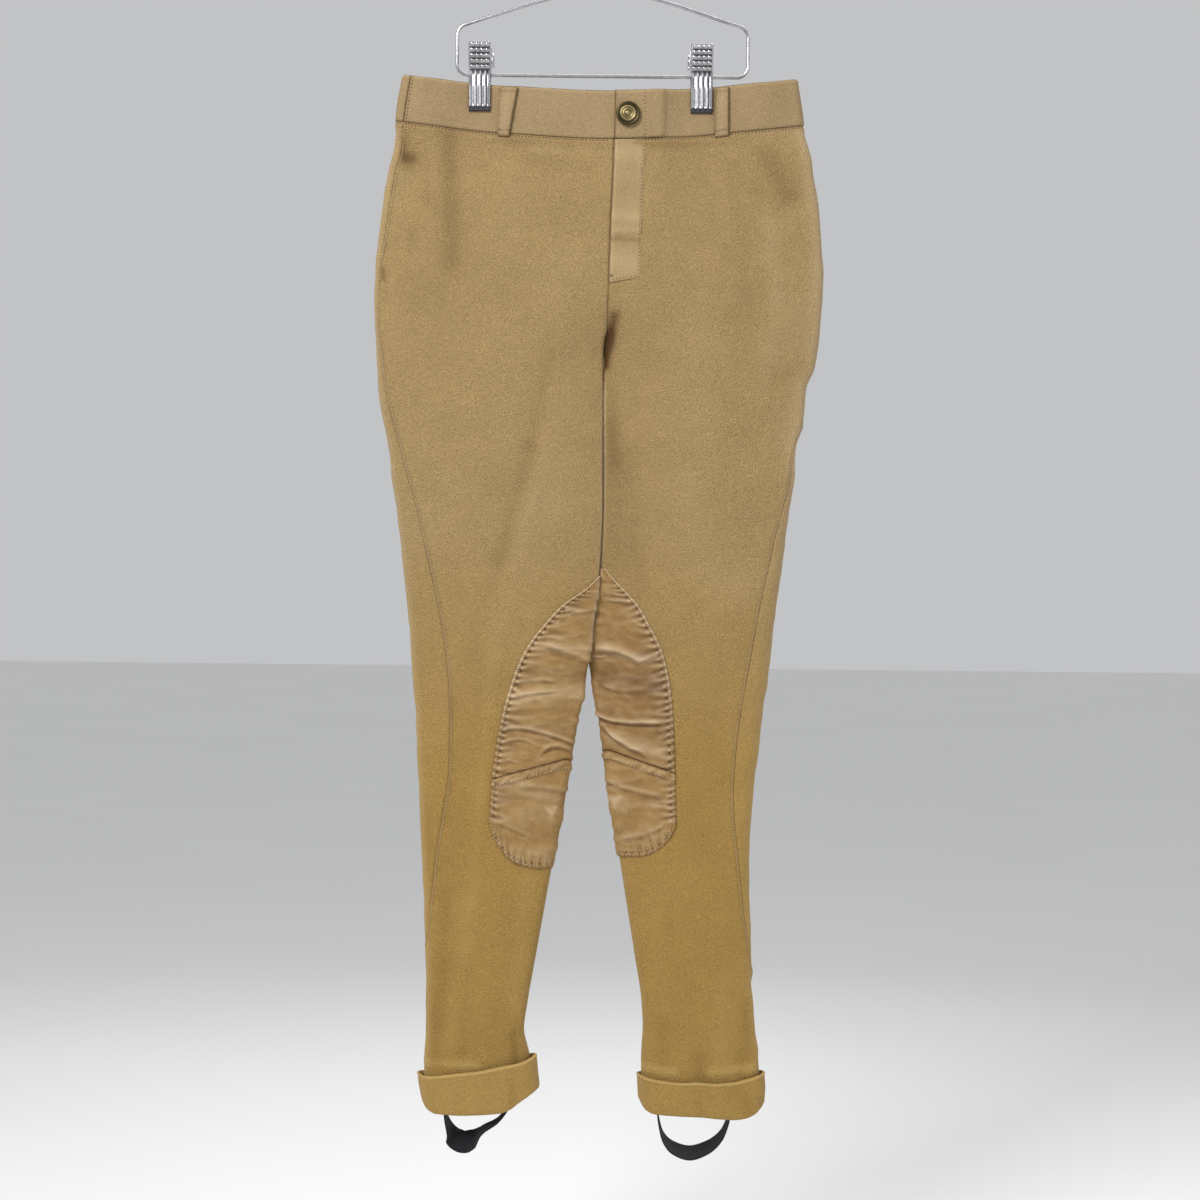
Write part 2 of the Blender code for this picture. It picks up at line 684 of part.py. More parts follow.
def make_button():
    """The waist button: a turned disc with rings, flat against the band's upper end."""
    leg = LEGS["left"]
    angle = angle_at(leg, BUTTON_DROP, BUTTON_X)
    lift = BAND_PROUD + BAND_CLOTH + SEAM_GAP
    seats = [skin_point(leg, BUTTON_DROP, angle_at(leg, BUTTON_DROP, BUTTON_X + step), lift)
             for step in (-BUTTON_REST, 0.0, BUTTON_REST)]
    seat = skin_point(leg, BUTTON_DROP, angle, lift)
    seat.y = min(point.y for point in seats) - SEAM_GAP * MM
    mesh = bpy.data.meshes.new("waist_button")
    profile = [(radius * MM, 0.0, height * MM) for radius, height in BUTTON_PROFILE]
    mesh.from_pydata(profile, [(i, i + 1) for i in range(len(profile) - 1)], [])
    obj = link(bpy.data.objects.new("waist_button", mesh), BRASS, smooth=False)
    obj.location = seat
    obj.rotation_euler = (math.pi / 2.0, 0.0, 0.0)
    screw = obj.modifiers.new("turn", "SCREW")
    screw.steps = 18
    screw.render_steps = 18
    screw.use_merge_vertices = True
    screw.merge_threshold = 0.00002


def patch_crease(leg, share, drop):
    """Height of the creases that cross a patch."""
    total = 0.0
    for side, fold_drop, edge_drop, height, width in PATCH_CREASES:
        if side == leg.side:
            line = fold_drop + (edge_drop - fold_drop) * abs(share)
            reach = math.sin(math.pi * min(abs(share) * 0.9 + 0.1, 1.0)) ** 0.5
            total += height * reach * math.exp(-((drop - line) / width) ** 2)
    return total


def patch_angle(leg, share, drop):
    """The ring angle at a share of the way from the inner fold to the patch's sewn edge."""
    edge = angle_at(leg, drop, float(leg.patch_edge(drop)))
    angles = np.linspace(0.0, max(edge, 0.05), 61)
    points = ring(leg, drop, angles)
    run = np.concatenate(([0.0], np.cumsum(np.hypot(*np.diff(points, axis=0).T))))
    angle = float(np.interp(abs(share) * run[-1], run, angles))
    return angle if share >= 0 else 2.0 * math.pi - angle


def make_patch_piece(name, leg, rows, first_index):
    """A patch piece through rows, each a drop for every share across."""
    shares = [-share for share in PATCH_COLUMNS[:0:-1]] + list(PATCH_COLUMNS)
    outer_grid, inner_grid = [], []
    for index, row in enumerate(rows):
        outer_row, inner_row = [], []
        for share in shares:
            drop = row(share)
            angle = patch_angle(leg, share, drop)
            ridge = (index + first_index) % 2 == 1 and row(1.0) > PUCKER_FIRST_DROP
            pucker = PUCKER_HEIGHT.get(abs(share), 0.0) if ridge else 0.0
            width = abs(float(leg.patch_edge(drop) - leg.inner(drop)))
            lift = PATCH_LIFT + NARROW_LIFT * math.exp(-((width - 27.0) / 12.0) ** 2)
            top = lift + PATCH_CLOTH + pucker + patch_crease(leg, share, drop)
            outer_row.append(skin_point(leg, drop, angle, top, shape=laid_ring))
            inner_row.append(skin_point(leg, drop, angle, lift, shape=laid_ring))
        outer_grid.append(outer_row)
        inner_grid.append(inner_row)
    coarse = [c for c, share in enumerate(shares) if abs(share) < PUCKER_SHARE]
    wall(name, outer_grid, inner_grid, PATCH_TAN, coarse=coarse)


def edge_drops(leg, first, last):
    """Drops down a patch's sewn edge, evenly spaced along it."""
    drops = np.linspace(first, last, 200)
    run = np.concatenate(([0.0], np.cumsum(np.hypot(np.diff(drops), np.diff(leg.patch_edge(drops))))))
    count = max(2, round(run[-1] / PUCKER_STEP))
    return np.interp(np.linspace(0.0, run[-1], count + 1), run, drops)


def make_patches():
    """Upper and lower knee patches on both legs."""
    for leg in LEGS.values():
        cross, rise, corner, bottom = PATCH_LEVELS[leg.side]
        first = leg.patch_rows[0][0]
        upper_drops = edge_drops(leg, first, cross - SEAM_GAP)
        lower_drops = edge_drops(leg, cross + SEAM_GAP, corner)

        def upper_row(edge_drop):
            weight = ((edge_drop - first) / (cross - first)) ** 2

            def row(share):
                return edge_drop - weight * rise * (1.0 - abs(share))

            return row

        def lower_row(edge_drop):
            weight = (edge_drop - cross) / (corner - cross)

            def row(share):
                from_cross = rise * (1.0 - abs(share)) * (1.0 - weight)
                to_bottom = weight * (bottom - corner) * (1.0 - abs(share) ** 4)
                return edge_drop - from_cross + to_bottom

            return row

        make_patch_piece(f"knee_patch_upper_{leg.side}", leg, [upper_row(d) for d in upper_drops], 0)
        make_patch_piece(f"knee_patch_lower_{leg.side}", leg, [lower_row(d) for d in lower_drops],
                         len(upper_drops))


def cuff_point(side, share_down, angle, inset, leg):
    """A scene point on a turn-up's outer face."""
    rim_outer, rim_inner, bottom_outer, bottom_inner = CUFF_SPANS[side]
    outer = rim_outer + (bottom_outer - rim_outer) * share_down
    inner = rim_inner + (bottom_inner - rim_inner) * share_down
    half = CUFF_HALF_RIM + (CUFF_HALF_BOTTOM - CUFF_HALF_RIM) * share_down
    sign = 1.0 if outer > inner else -1.0
    outer, inner = outer - sign * inset, inner + sign * inset
    half, fold = half - inset, CUFF_FOLD - inset
    across = (1.0 - math.cos(angle)) / 2.0
    x = inner + (outer - inner) * across
    near = min(abs(x - inner), abs(x - outer))
    depth = fold * math.sqrt(1.0 - (1.0 - min(near / fold, 1.0)) ** 2)
    depth += (half - fold) * math.sin(math.pi * across) ** BODY_FULLNESS
    y = leg.forward + (depth if math.sin(angle) < 0 else -depth)
    rim, bottom = float(leg.cuff_rim(1.0 - across)), float(leg.cuff_bottom(1.0 - across))
    return x, y, rim + (bottom - rim) * share_down


def make_cuffs():
    """The turn-ups: a ring of cloth that flares at its rim and turns in under the hem."""
    angles = [2.0 * math.pi * column / CUFF_COLUMNS for column in range(CUFF_COLUMNS)]
    for side, leg in LEGS.items():
        outer_grid, inner_grid = [], []
        for index, (share_down, inset) in enumerate(CUFF_PROFILE):
            lip = index >= len(CUFF_PROFILE) - CUFF_LIP_ROWS
            inward, downward = (0.0, CUFF_CLOTH) if lip else (CUFF_CLOTH, 0.0)
            outer_row, inner_row = [], []
            for angle in angles:
                outer_row.append(to_scene(*cuff_point(side, share_down, angle, inset, leg)))
                x, y, drop = cuff_point(side, share_down, angle, inset + inward, leg)
                inner_row.append(to_scene(x, y, drop - downward))
            outer_grid.append(outer_row)
            inner_grid.append(inner_row)
        wall(f"cuff_{side}", outer_grid, inner_grid, TAN, closed=True)


def route_points(route, count):
    """Stations along a strap: centre, direction along, and the turn of its width."""
    rows = np.array(route, float)
    run = np.concatenate(([0.0], np.cumsum(np.linalg.norm(np.diff(rows[:, :3], axis=0), axis=1))))
    table = [(run[i], *rows[i]) for i in range(len(run))]
    columns = [smooth_column(table, column) for column in range(1, 5)]
    places = np.linspace(0.0, run[-1], count)
    return np.stack([column(places) for column in columns], axis=-1)


def seat_strap(leg, stations):
    """Bring a strap's two ends against the inside of the leg's front, where they are sewn."""
    for i, (x, _, drop, _) in enumerate(stations):
        angle = angle_at(leg, drop, x)
        sewn = skin_point(leg, drop, angle, -CLOTH - 2.0 * SEAM_GAP).y / MM + STRAP_WIDTH / 2.0
        stations[i][1] += leg.forward
        loose = ease((drop - STRAP_SEWN_TO) / (STRAP_FREE_FROM - STRAP_SEWN_TO))
        stations[i][1] += (sewn - stations[i][1]) * (1.0 - loose)


def make_strap(name, leg, route):
    """An elastic foot strap: a flat band along its route, turned as it goes."""
    stations = route_points(route, STRAP_STATIONS)
    seat_strap(leg, stations)
    centres = [to_scene(x, y, drop) for x, y, drop, _ in stations]
    outer_grid, inner_grid = [], []
    for i, centre in enumerate(centres):
        ahead = centres[min(i + 1, len(centres) - 1)] - centres[max(i - 1, 0)]
        along = ahead.normalized()
        turn = math.radians(stations[i][3])
        width = Vector((0.0, math.cos(turn), math.sin(turn)))
        width = (width - along * width.dot(along)).normalized()
        out = along.cross(width).normalized() * (STRAP_CLOTH * MM / 2.0)
        half = width * (STRAP_WIDTH * MM / 2.0)
        outer_grid.append([centre - half + out, centre + out, centre + half + out])
        inner_grid.append([centre - half - out, centre - out, centre + half - out])
    wall(name, outer_grid, inner_grid, BLACK)


def make_wire(name, points, cyclic=False):
    """A round chrome wire through points given as x, y and drop."""
    curve = bpy.data.curves.new(name, "CURVE")
    curve.dimensions = "3D"
    curve.bevel_depth = WIRE * MM / 2.0
    curve.bevel_resolution = 2
    curve.use_fill_caps = True
    spline = curve.splines.new("POLY")
    spline.points.add(len(points) - 1)
    for target, point in zip(spline.points, points):
        target.co = (*to_scene(*point), 1.0)
    spline.use_cyclic_u = cyclic
    return link(bpy.data.objects.new(name, curve), CHROME)


def corner(centre_x, centre_drop, radius, start, end, steps=5):
    """Points round an arc; degrees run from +X towards a larger drop."""
    return [(centre_x + radius * math.cos(math.radians(a)), 0.0,
             centre_drop + radius * math.sin(math.radians(a))) for a in np.linspace(start, end, steps)]


def make_hanger():
    """The wire frame and its hook, finished plainly above the arms."""
    lean = math.degrees(math.atan2(APEX_RISE - ARM_RISE, BAR_HALF))
    half = corner(BAR_HALF - CORNER, -CORNER, CORNER, 90.0, 0.0)
    half += corner(BAR_HALF - CORNER, -ARM_RISE + CORNER, CORNER, 0.0, -90.0 + lean)
    half += [(BAR_HALF * 0.5, 0.0, -ARM_RISE - (APEX_RISE - ARM_RISE) * 0.52)]
    half += [(CORNER * 0.8, 0.0, -APEX_RISE + 1.2)]
    mirrored = [(-x, y, drop) for x, y, drop in half[::-1]]
    make_wire("hanger_frame", half + [(0.0, 0.0, -APEX_RISE)] + mirrored, cyclic=True)
    top = -BAR_DROP - WIRE / 2.0 + HOOK_RADIUS
    crook = corner(0.0, top, HOOK_RADIUS, 205.0, 395.0, 14)
    neck_end = top + HOOK_RADIUS + 24.0
    neck = [(13.0, 0.0, top + 17.0), (6.0, 0.0, top + 24.5), (1.2, 0.0, top + 32.0), (0.0, 0.0, neck_end)]
    make_wire("hanger_hook", crook + neck + [(0.0, 0.0, -APEX_RISE - WIRE / 2.0 - SEAM_GAP)])


def make_jaw(name, centre, face, detailed):
    """One jaw of a clip: a thumb plate with raised studs, then lengthwise ribs down to the tip."""
    inside_line = smooth_column(JAW_LINE, 1)
    columns = 8 if detailed else 2
    stud_end = CLIP_TOP + STUD_SHARE * (CLIP_BOTTOM - CLIP_TOP)
    upper = np.linspace(CLIP_TOP, stud_end, 11 if detailed else 4)
    lower = np.linspace(stud_end, CLIP_BOTTOM - 0.4, 5)[1:]
    outer_grid, inner_grid = [], []
    for r, drop in enumerate(np.concatenate((upper, lower))):
        outer_row, inner_row = [], []
        for c in range(columns + 1):
            x = centre + CLIP_WIDTH * (c / columns - 0.5)
            inside = float(inside_line(drop))
            stud_row = r < len(upper) and r % 2 == 1
            rib_row = r > len(upper)
            raised = STUD_RISE if detailed and c % 2 == 1 and (stud_row or rib_row) else 0.0
            outer_row.append(to_scene(x, face * (inside + CLIP_PLATE + raised), drop))
            inner_row.append(to_scene(x, face * inside, drop))
        outer_grid.append(outer_row)
        inner_grid.append(inner_row)
    wall(name, outer_grid, inner_grid, CHROME)


def make_box(name, centre, size, finish):
    """A small block at a place."""
    bpy.ops.mesh.primitive_cube_add(size=1.0, location=centre)
    obj = bpy.context.object
    obj.name = name
    obj.data.name = name
    obj.data.transform(Matrix.Diagonal((*[side * MM for side in size], 1.0)))
    bpy.context.collection.objects.unlink(obj)
    return link(obj, finish, smooth=False)


def make_sleeve(name, centre):
    """The tube that turns on the bar between a clip's jaws."""
    length, bore, rim = CLIP_WIDTH - 1.5, WIRE / 2.0 + 0.3, 3.4
    mesh = bpy.data.meshes.new(name)
    half = length / 2.0
    profile = [(bore, half), (rim, half), (rim, -half), (bore, -half)]
    mesh.from_pydata([(radius * MM, 0.0, height * MM) for radius, height in profile],
                     [(0, 1), (1, 2), (2, 3), (3, 0)], [])
    obj = link(bpy.data.objects.new(name, mesh), CHROME, smooth=False)
    obj.location = to_scene(centre, 0.0, 0.0)
    obj.rotation_euler = (0.0, math.pi / 2.0, 0.0)
    screw = obj.modifiers.new("turn", "SCREW")
    screw.steps = 14
    screw.render_steps = 14
    screw.use_merge_vertices = True
    screw.merge_threshold = 0.00002


def make_spring(name, centre, inboard):
    """The spring wire that shows beside a clip, bowed from one jaw to the other round the bar."""
    x = centre + inboard * (CLIP_WIDTH / 2.0 + 1.5)
    turns = np.radians(np.linspace(-118.0, 118.0, 13))
    arc = [(x, 9.0 * math.sin(turn), -11.0 - 7.0 * math.cos(turn)) for turn in turns]
    curve = make_wire(name, arc)
    curve.data.bevel_depth = SPRING_WIRE * MM
    curve.data.bevel_resolution = 1


def make_clips():
    """Two clips that hold the waistband."""
    for side, centre in CLIP_CENTRES.items():
        make_jaw(f"clip_jaw_front_{side}", centre, -1.0, True)
        make_jaw(f"clip_jaw_back_{side}", centre, 1.0, False)
        make_sleeve(f"clip_sleeve_{side}", centre)
        make_spring(f"clip_spring_{side}", centre, 1.0 if side == "right" else -1.0)
        for face, label in ((-1.0, "front"), (1.0, "back")):
            y = face * (JAW_GRIP - SEAM_GAP - PAD_CLOTH / 2.0)
            make_box(f"clip_pad_{label}_{side}", to_scene(centre, y, CLIP_BOTTOM - 3.0),
                     (CLIP_WIDTH - 1.0, PAD_CLOTH, PAD_HEIGHT), RUBBER)


def main():
    for obj in list(bpy.data.objects):
        bpy.data.objects.remove(obj, do_unlink=True)
    garment = bpy.data.collections.new(NAME)
    bpy.context.scene.collection.children.link(garment)
    for side, leg in LEGS.items():
        make_panel(f"front_{side}", leg, False, PANEL_COLUMNS)
        make_panel(f"back_{side}", leg, True, PANEL_COLUMNS)
    make_waistband()
    make_placket()
    make_belt_loops()
    make_button()
    make_patches()
    make_cuffs()
    make_strap("foot_strap_right", LEGS["right"], STRAP_RIGHT_ROUTE)
    make_strap("foot_strap_left", LEGS["left"], STRAP_LEFT_ROUTE)
    make_hanger()
    make_clips()


main()
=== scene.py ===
"""Riding breeches with turn-ups, knee patches and foot straps, on a wire clip hanger.

Laid out as an add-on and run as a script. The scene is in metres, with +Z up and the front facing -Y.
Tables and working sizes are in millimetres, and "drop" is the distance below the hanger's bar.
"""
import math

import bpy
import numpy as np
from bpy.props import FloatProperty, FloatVectorProperty, IntProperty, PointerProperty
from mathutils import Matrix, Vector


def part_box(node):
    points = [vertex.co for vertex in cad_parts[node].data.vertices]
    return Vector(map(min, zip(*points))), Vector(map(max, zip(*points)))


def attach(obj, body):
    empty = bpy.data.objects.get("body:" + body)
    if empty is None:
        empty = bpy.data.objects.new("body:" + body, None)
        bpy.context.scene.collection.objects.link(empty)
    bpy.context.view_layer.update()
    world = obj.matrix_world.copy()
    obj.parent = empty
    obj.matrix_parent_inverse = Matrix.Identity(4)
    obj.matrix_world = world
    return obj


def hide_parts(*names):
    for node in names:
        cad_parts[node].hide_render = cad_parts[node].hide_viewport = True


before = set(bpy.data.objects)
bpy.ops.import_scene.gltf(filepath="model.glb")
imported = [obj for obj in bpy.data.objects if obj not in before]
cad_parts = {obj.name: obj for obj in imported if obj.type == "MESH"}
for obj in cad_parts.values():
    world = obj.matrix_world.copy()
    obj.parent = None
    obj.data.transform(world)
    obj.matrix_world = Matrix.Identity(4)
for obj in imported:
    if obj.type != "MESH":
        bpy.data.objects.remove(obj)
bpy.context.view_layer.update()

bl_info = {
    "name": "Riding Breeches",
    "version": (1, 0, 0),
    "blender": (4, 5, 0),
    "location": "View3D > Sidebar > Breeches",
    "description": "Makes the cloth, trims, hanger and stage of a pair of riding breeches",
    "category": "Object",
}

MM = 0.001

# Cloth and gaps
PATCH_LIFT = 0.3
PLACKET_LIFT = 0.3
CUFF_CLOTH = 1.9
SEAM_GAP = 0.3
EDGE_GAP = 0.03
PANEL_TOP = 48.0

# Waist and crotch
CROTCH_DROP = 248.0
VALLEY_HEIGHT = 66.0
HEM_DROP = 882.0
BAND_TOP_DROP = 0.8
BAND_TOP_DIP = 12.9
SEAM_DROP = 41.5
SEAM_DIP = 14.0
WAIST_HALF = 173.0
DIP_POWER = 1.6
BODY_FULLNESS = 0.8
OVERLAP_END = 52.0
OVERLAP_STEP = 4.0
TAB_CORNER = 5.0
TAB_STITCH = 37.0
TAB_LAP = 1.7
BAND_LEVEL = 28.0
BAND_END = 0.06
BAND_PROUD = 0.8
# Ring angle left free at a side seam
SEAM_TURN = 0.0012
FLY_WIDTH = 26.0
FLY_DROP = 180.0
FLY_SLANT = 5.0

# Hanger
BAR_DROP = 165.0
BAR_HALF = 125.0
ARM_RISE = 44.0
APEX_RISE = 78.0
CORNER = 10.0
HOOK_RADIUS = 19.5
CLIP_WIDTH = 19.0
CLIP_TOP = -26.4
CLIP_BOTTOM = 31.2
CLIP_CENTRES = {"right": -105.2, "left": 85.2}
STUD_COLUMNS = (-6.3, -2.1, 2.1, 6.3)
STUD_DROPS = (-23.4, -19.0, -14.6, -10.2, -5.8)
GRIP_CLOTH = 0.9
PINCHED_HALF = 2.5
PINCH_END = 36.0
# The hook's neck: x, drop below the crook's centre
HOOK_NECK = ((13.0, 17.0), (9.4, 20.9), (6.0, 24.5), (3.2, 28.2), (1.2, 32.0), (0.2, 37.0), (0.0, 43.5))
# Distance of a clip jaw's inner face from the bar's plane, by drop
JAW_LINE = (
    (CLIP_TOP, 11.5),
    (-14.0, 8.2),
    (-4.0, 4.3),
    (0.0, 3.7),
    (5.0, 4.3),
    (11.0, 4.9),
    (60.0, 4.9),
)

# One row for each section of a leg, millimetres:
# drop, outer fold, inner fold, side seam in from the outer fold (negative: round on the back)
RIGHT_LEG = (
    (-6, -169.6, 10.9, 9.5),
    (41, -177, 10.7, 6.5),
    (63, -178.7, 10.5, 6.8),
    (86, -183.6, 9.8, 7),
    (130, -190, 8.2, 6.5),
    (180, -193.8, 7.2, 3),
    (205, -194.4, 6.9, 3.2),
    (216, -194.1, 6.7, 3.6),
    (228, -193.2, 3.9, 4),
    (237, -192.6, 3.3, 4.4),
    (275, -188.8, 3, 6.2),
    (310, -182.4, 3.2, 9.5),
    (344, -178.3, 3.6, 14.5),
    (369, -173.3, 3.8, 17),
    (400, -169.9, 3, 21),
    (425, -166.8, 1.6, 24),
    (445, -164.2, -0.3, 26),
    (485, -160, -5.3, 29.5),
    (521, -157, -9.9, 31),
    (555, -154.6, -16.2, 29.5),
    (600, -151.5, -23.4, 26),
    (629, -150.4, -27.4, 21),
    (665, -148.6, -33.8, 13.5),
    (697, -147.1, -39.3, 8.5),
    (754, -143.7, -49, -1),
    (796, -143.6, -56, -6),
    (818, -143.8, -58.6, -6),
    (842, -144, -53.5, -6),
    (890, -141.5, -49, -6),
)
LEFT_LEG = (
    (-6, 166.2, 11.2, -8.5),
    (45, 173.8, 10.9, -7),
    (68, 179.7, 10.6, -6.5),
    (86, 182.2, 10, -6.5),
    (104, 185.9, 9.3, -6),
    (134, 189.4, 8.3, -6),
    (167, 191.4, 7.6, -5),
    (208, 190.1, 6.8, -4),
    (249, 185.7, 3.9, -3),
    (267, 178.5, 2.7, -2),
    (297, 175.8, 0.7, -0.5),
    (319, 169.8, -0.4, 1.5),
    (351, 167.9, -0.5, 4),
    (369, 165.2, -0.5, 6.2),
    (400, 161.2, -0.8, 10),
    (425, 158.3, -2.5, 12.2),
    (445, 155.6, -4, 14),
    (485, 151, -6, 16.5),
    (505, 149, -5.2, 17.8),
    (521, 147.5, -3, 19),
    (540, 144.5, 0.8, 19.3),
    (555, 142.5, 3.6, 19.5),
    (600, 137.6, 10, 18.5),
    (631, 134.9, 14.4, 15.5),
    (657, 133.6, 19.2, 11.5),
    (711, 133.7, 28.2, 5.4),
    (752, 136.1, 35, 1.5),
    (791, 137.7, 41.4, -3),
    (816, 139.8, 43.1, -5),
    (842, 142.2, 42, -5),
    (890, 144.3, 44, -5),
)
# drop, half the depth at the middle, radius of the folds at the two sides
DEPTHS = (
    (-6, 8, 5),
    (55, 9, 5),
    (90, 13, 6),
    (130, 17, 7),
    (205, 21, 8),
    (300, 20, 8),
    (400, 19, 8.5),
    (480, 18, 11),
    (560, 17, 11),
    (640, 16.5, 11),
    (720, 15.5, 9),
    (820, 15, 9),
    (890, 16, 9),
)
# Large soft folds by panel: first x and drop, last x and drop, width, depth (negative stands proud)
FOLDS = {
    "front_right": (
        (-164, 62, -158, 84, 12, 3.2),
        (-130, 60, -128, 185, 13, 1.6),
        (-70, 70, -20, 66, 12, 1.4),
        (-42, 272, -80, 412, 14, 1.2),
        (-90, 790, -112, 826, 14, -1.6),
    ),
    "front_left": (
        (130, 70, 158, 112, 22, 2.8),
        (45, 66, 88, 68, 12, 1.4),
        (24, 300, 22, 410, 16, 2.6),
        (96, 836, 70, 830, 14, 1.8),
    ),
    "back_right": (
        (-60, 235, -120, 300, 16, 2.2),
        (-105, 60, -112, 170, 14, 1.6),
    ),
    "back_left": (
        (60, 235, 118, 296, 16, 2.2),
        (88, 60, 96, 165, 14, 1.6),
    ),
}
# Knee patches: drop, x of the sewn edge on the front; the back has the same
PATCH_EDGE_RIGHT = (
    (429.5, 1),
    (441, -11),
    (455, -30.2),
    (468, -42.3),
    (486, -56.4),
    (505, -66.5),
    (525, -73.4),
    (550, -80.1),
    (585, -86),
    (606, -88.3),
    (645, -89.8),
)
PATCH_EDGE_LEFT = (
    (422.5, 7.4),
    (428, 11.6),
    (441, 24),
    (455, 36.5),
    (471, 45.5),
    (488, 54.4),
    (509, 60.8),
    (531, 64.5),
    (555, 66.5),
    (582, 68),
    (645, 69.7),
)
# leg: cross seam at the edge, its rise to the inner fold, lower end at the edge, lower end at the fold
PATCH_LEVELS = {"right": (603.0, 19.0, 643.0, 680.0), "left": (597.0, 21.0, 641.0, 670.0)}
# Smaller soft folds by panel, with their painted shade and painted light: first x and drop, last x and drop,
# width, depth, darkening (painted shade; negative is painted light)
SOFT_FOLDS = {
    "front_right": (
        (-169.5, 60, -166, 76, 6.5, 1.3, 0.22),
        (-168.5, 72, -163, 72.5, 5.8, 0.6, 0.52),
        (-156, 62, -147, 112, 5, 0.6, 0.1),
        (-130, 55, -127, 165, 8, 0.9, 0.24),
        (-140, 190, -138, 235, 16, 0, 0.06),
        (-187, 169, -186, 177, 3, 0.5, 0.45),
        (-162, 138, -162, 146, 6, 0.3, 0.15),
        (-40, 240, -58, 322, 5, 0.6, 0.1),
        (-58, 322, -84, 418, 6, 0.8, 0.13),
        (-84, 418, -106, 500, 8, 0.6, 0.07),
        (-46, 325, -71, 424, 6, -0.5, -0.06),
        (-86, 488, -105, 709, 6, -0.4, -0.06),
        (-105, 709, -116, 830, 5.5, -0.7, -0.07),
        (-124, 540, -127, 640, 9, 0.3, 0.09),
        (-126, 700, -130, 815, 6, 0.8, 0.14),
        (-56, 690, -66, 800, 9, 0, -0.1),
        (-160, 180, -160, 222, 10, 0, 0.08),
        (-30, 300, -50, 425, 20, 0, -0.04),
        (-140, 847, -98, 848, 4, -0.8, -0.26),
        (-58, 67, -32, 66, 4.5, -0.5, -0.09),
        (-66.6, 822, -64, 852, 3.6, 1.6, 0.26),
        (-90, 800, -93, 850, 7, -0.8, 0),
        (-137, 808, -132, 850, 6, 1, 0.13),
        (-122, 790, -124, 838, 6, -1, -0.05),
        (-108, 770, -112, 836, 7, 0.9, 0.1),
        (-80, 58, -62, 60, 4.5, 0.8, 0.1),
        (-60, 75, -10, 79, 7, 0.5, 0.1),
        (-118, 80, -122, 185, 38, 0, 0.035),
    ),
    "front_left": (
        (131, 796, 133, 840, 5, 0.9, 0.13),
        (60, 812, 61, 848, 6, 0.7, 0.1),
        (112, 780, 110, 842, 8, -0.9, -0.05),
        (38, 63, 80, 59, 4.5, 1, 0.11),
        (143, 66, 161, 104, 9, 1.1, 0.24),
        (22, 330, 38, 445, 11, 0.4, 0.12),
        (10, 275, 14, 330, 6, 0.2, 0.1),
        (12, 300, 26, 441, 9, 0.3, 0.07),
        (79, 346, 87, 420, 16, 0, -0.045),
        (144, 110, 151, 190, 7, -0.5, -0.08),
        (151, 190, 139, 276, 8, -0.4, -0.07),
        (52, 720, 60, 800, 7, 0, -0.05),
        (45, 850, 70, 853, 4, -0.8, -0.28),
        (101, 853, 136, 849, 4, -0.8, -0.28),
        (135, 100, 150, 112, 8, 0.8, 0.06),
        (113, 75, 125, 190, 6, 0.4, 0.07),
        (10, 262, 12, 430, 8, 0.3, 0.1),
        (8, 300, 8, 468, 12, 0, 0.07),
        (169, 205, 163, 300, 17, 0, -0.07),
        (176, 250, 150, 262, 9, 1.2, 0.05),
        (140, 836, 138, 850, 9, -1, 0),
        (93, 842, 93, 860, 7, 1.2, 0.2),
        (127, 838, 130, 872, 4, 0.9, 0.12),
    ),
    "back_right": (
        (-60, 235, -120, 300, 8, 0.9, 0.12),
        (-40, 262, -86, 330, 7, 0.7, 0.08),
    ),
    "back_left": (
        (60, 235, 118, 296, 8, 0.9, 0.12),
        (40, 262, 84, 328, 7, 0.7, 0.08),
    ),
}
# Hollow under the crotch, behind the right leg: first x and drop, last x and drop, width, depth, darkening
# (painted shade)
HOLLOW = (
    (7, 225, 3.8, 249, 5, 3.2, 0),
    (6.8, 223, 4.2, 248, 4.8, 0, 0.85),
    (12, 208, 8, 230, 5, 0.9, 0.55),
)
# How far the fold between the legs is flattened, by drop, and how far it is pushed forward or back
INNER_FOLD = 2.4
LIP_RISE = 2.2
FLATNESS = (
    (150, 0),
    (200, 0.35),
    (248, 1),
    (520, 1),
    (600, 0.7),
    (720, 0.45),
    (890, 0.2),
)
FOLD_SHIFT = (
    (240, 0),
    (290, 0.9),
    (320, 1.4),
    (400, 1.6),
    (430, 2.6),
    (505, 2.6),
    (545, 1),
    (600, 0),
)
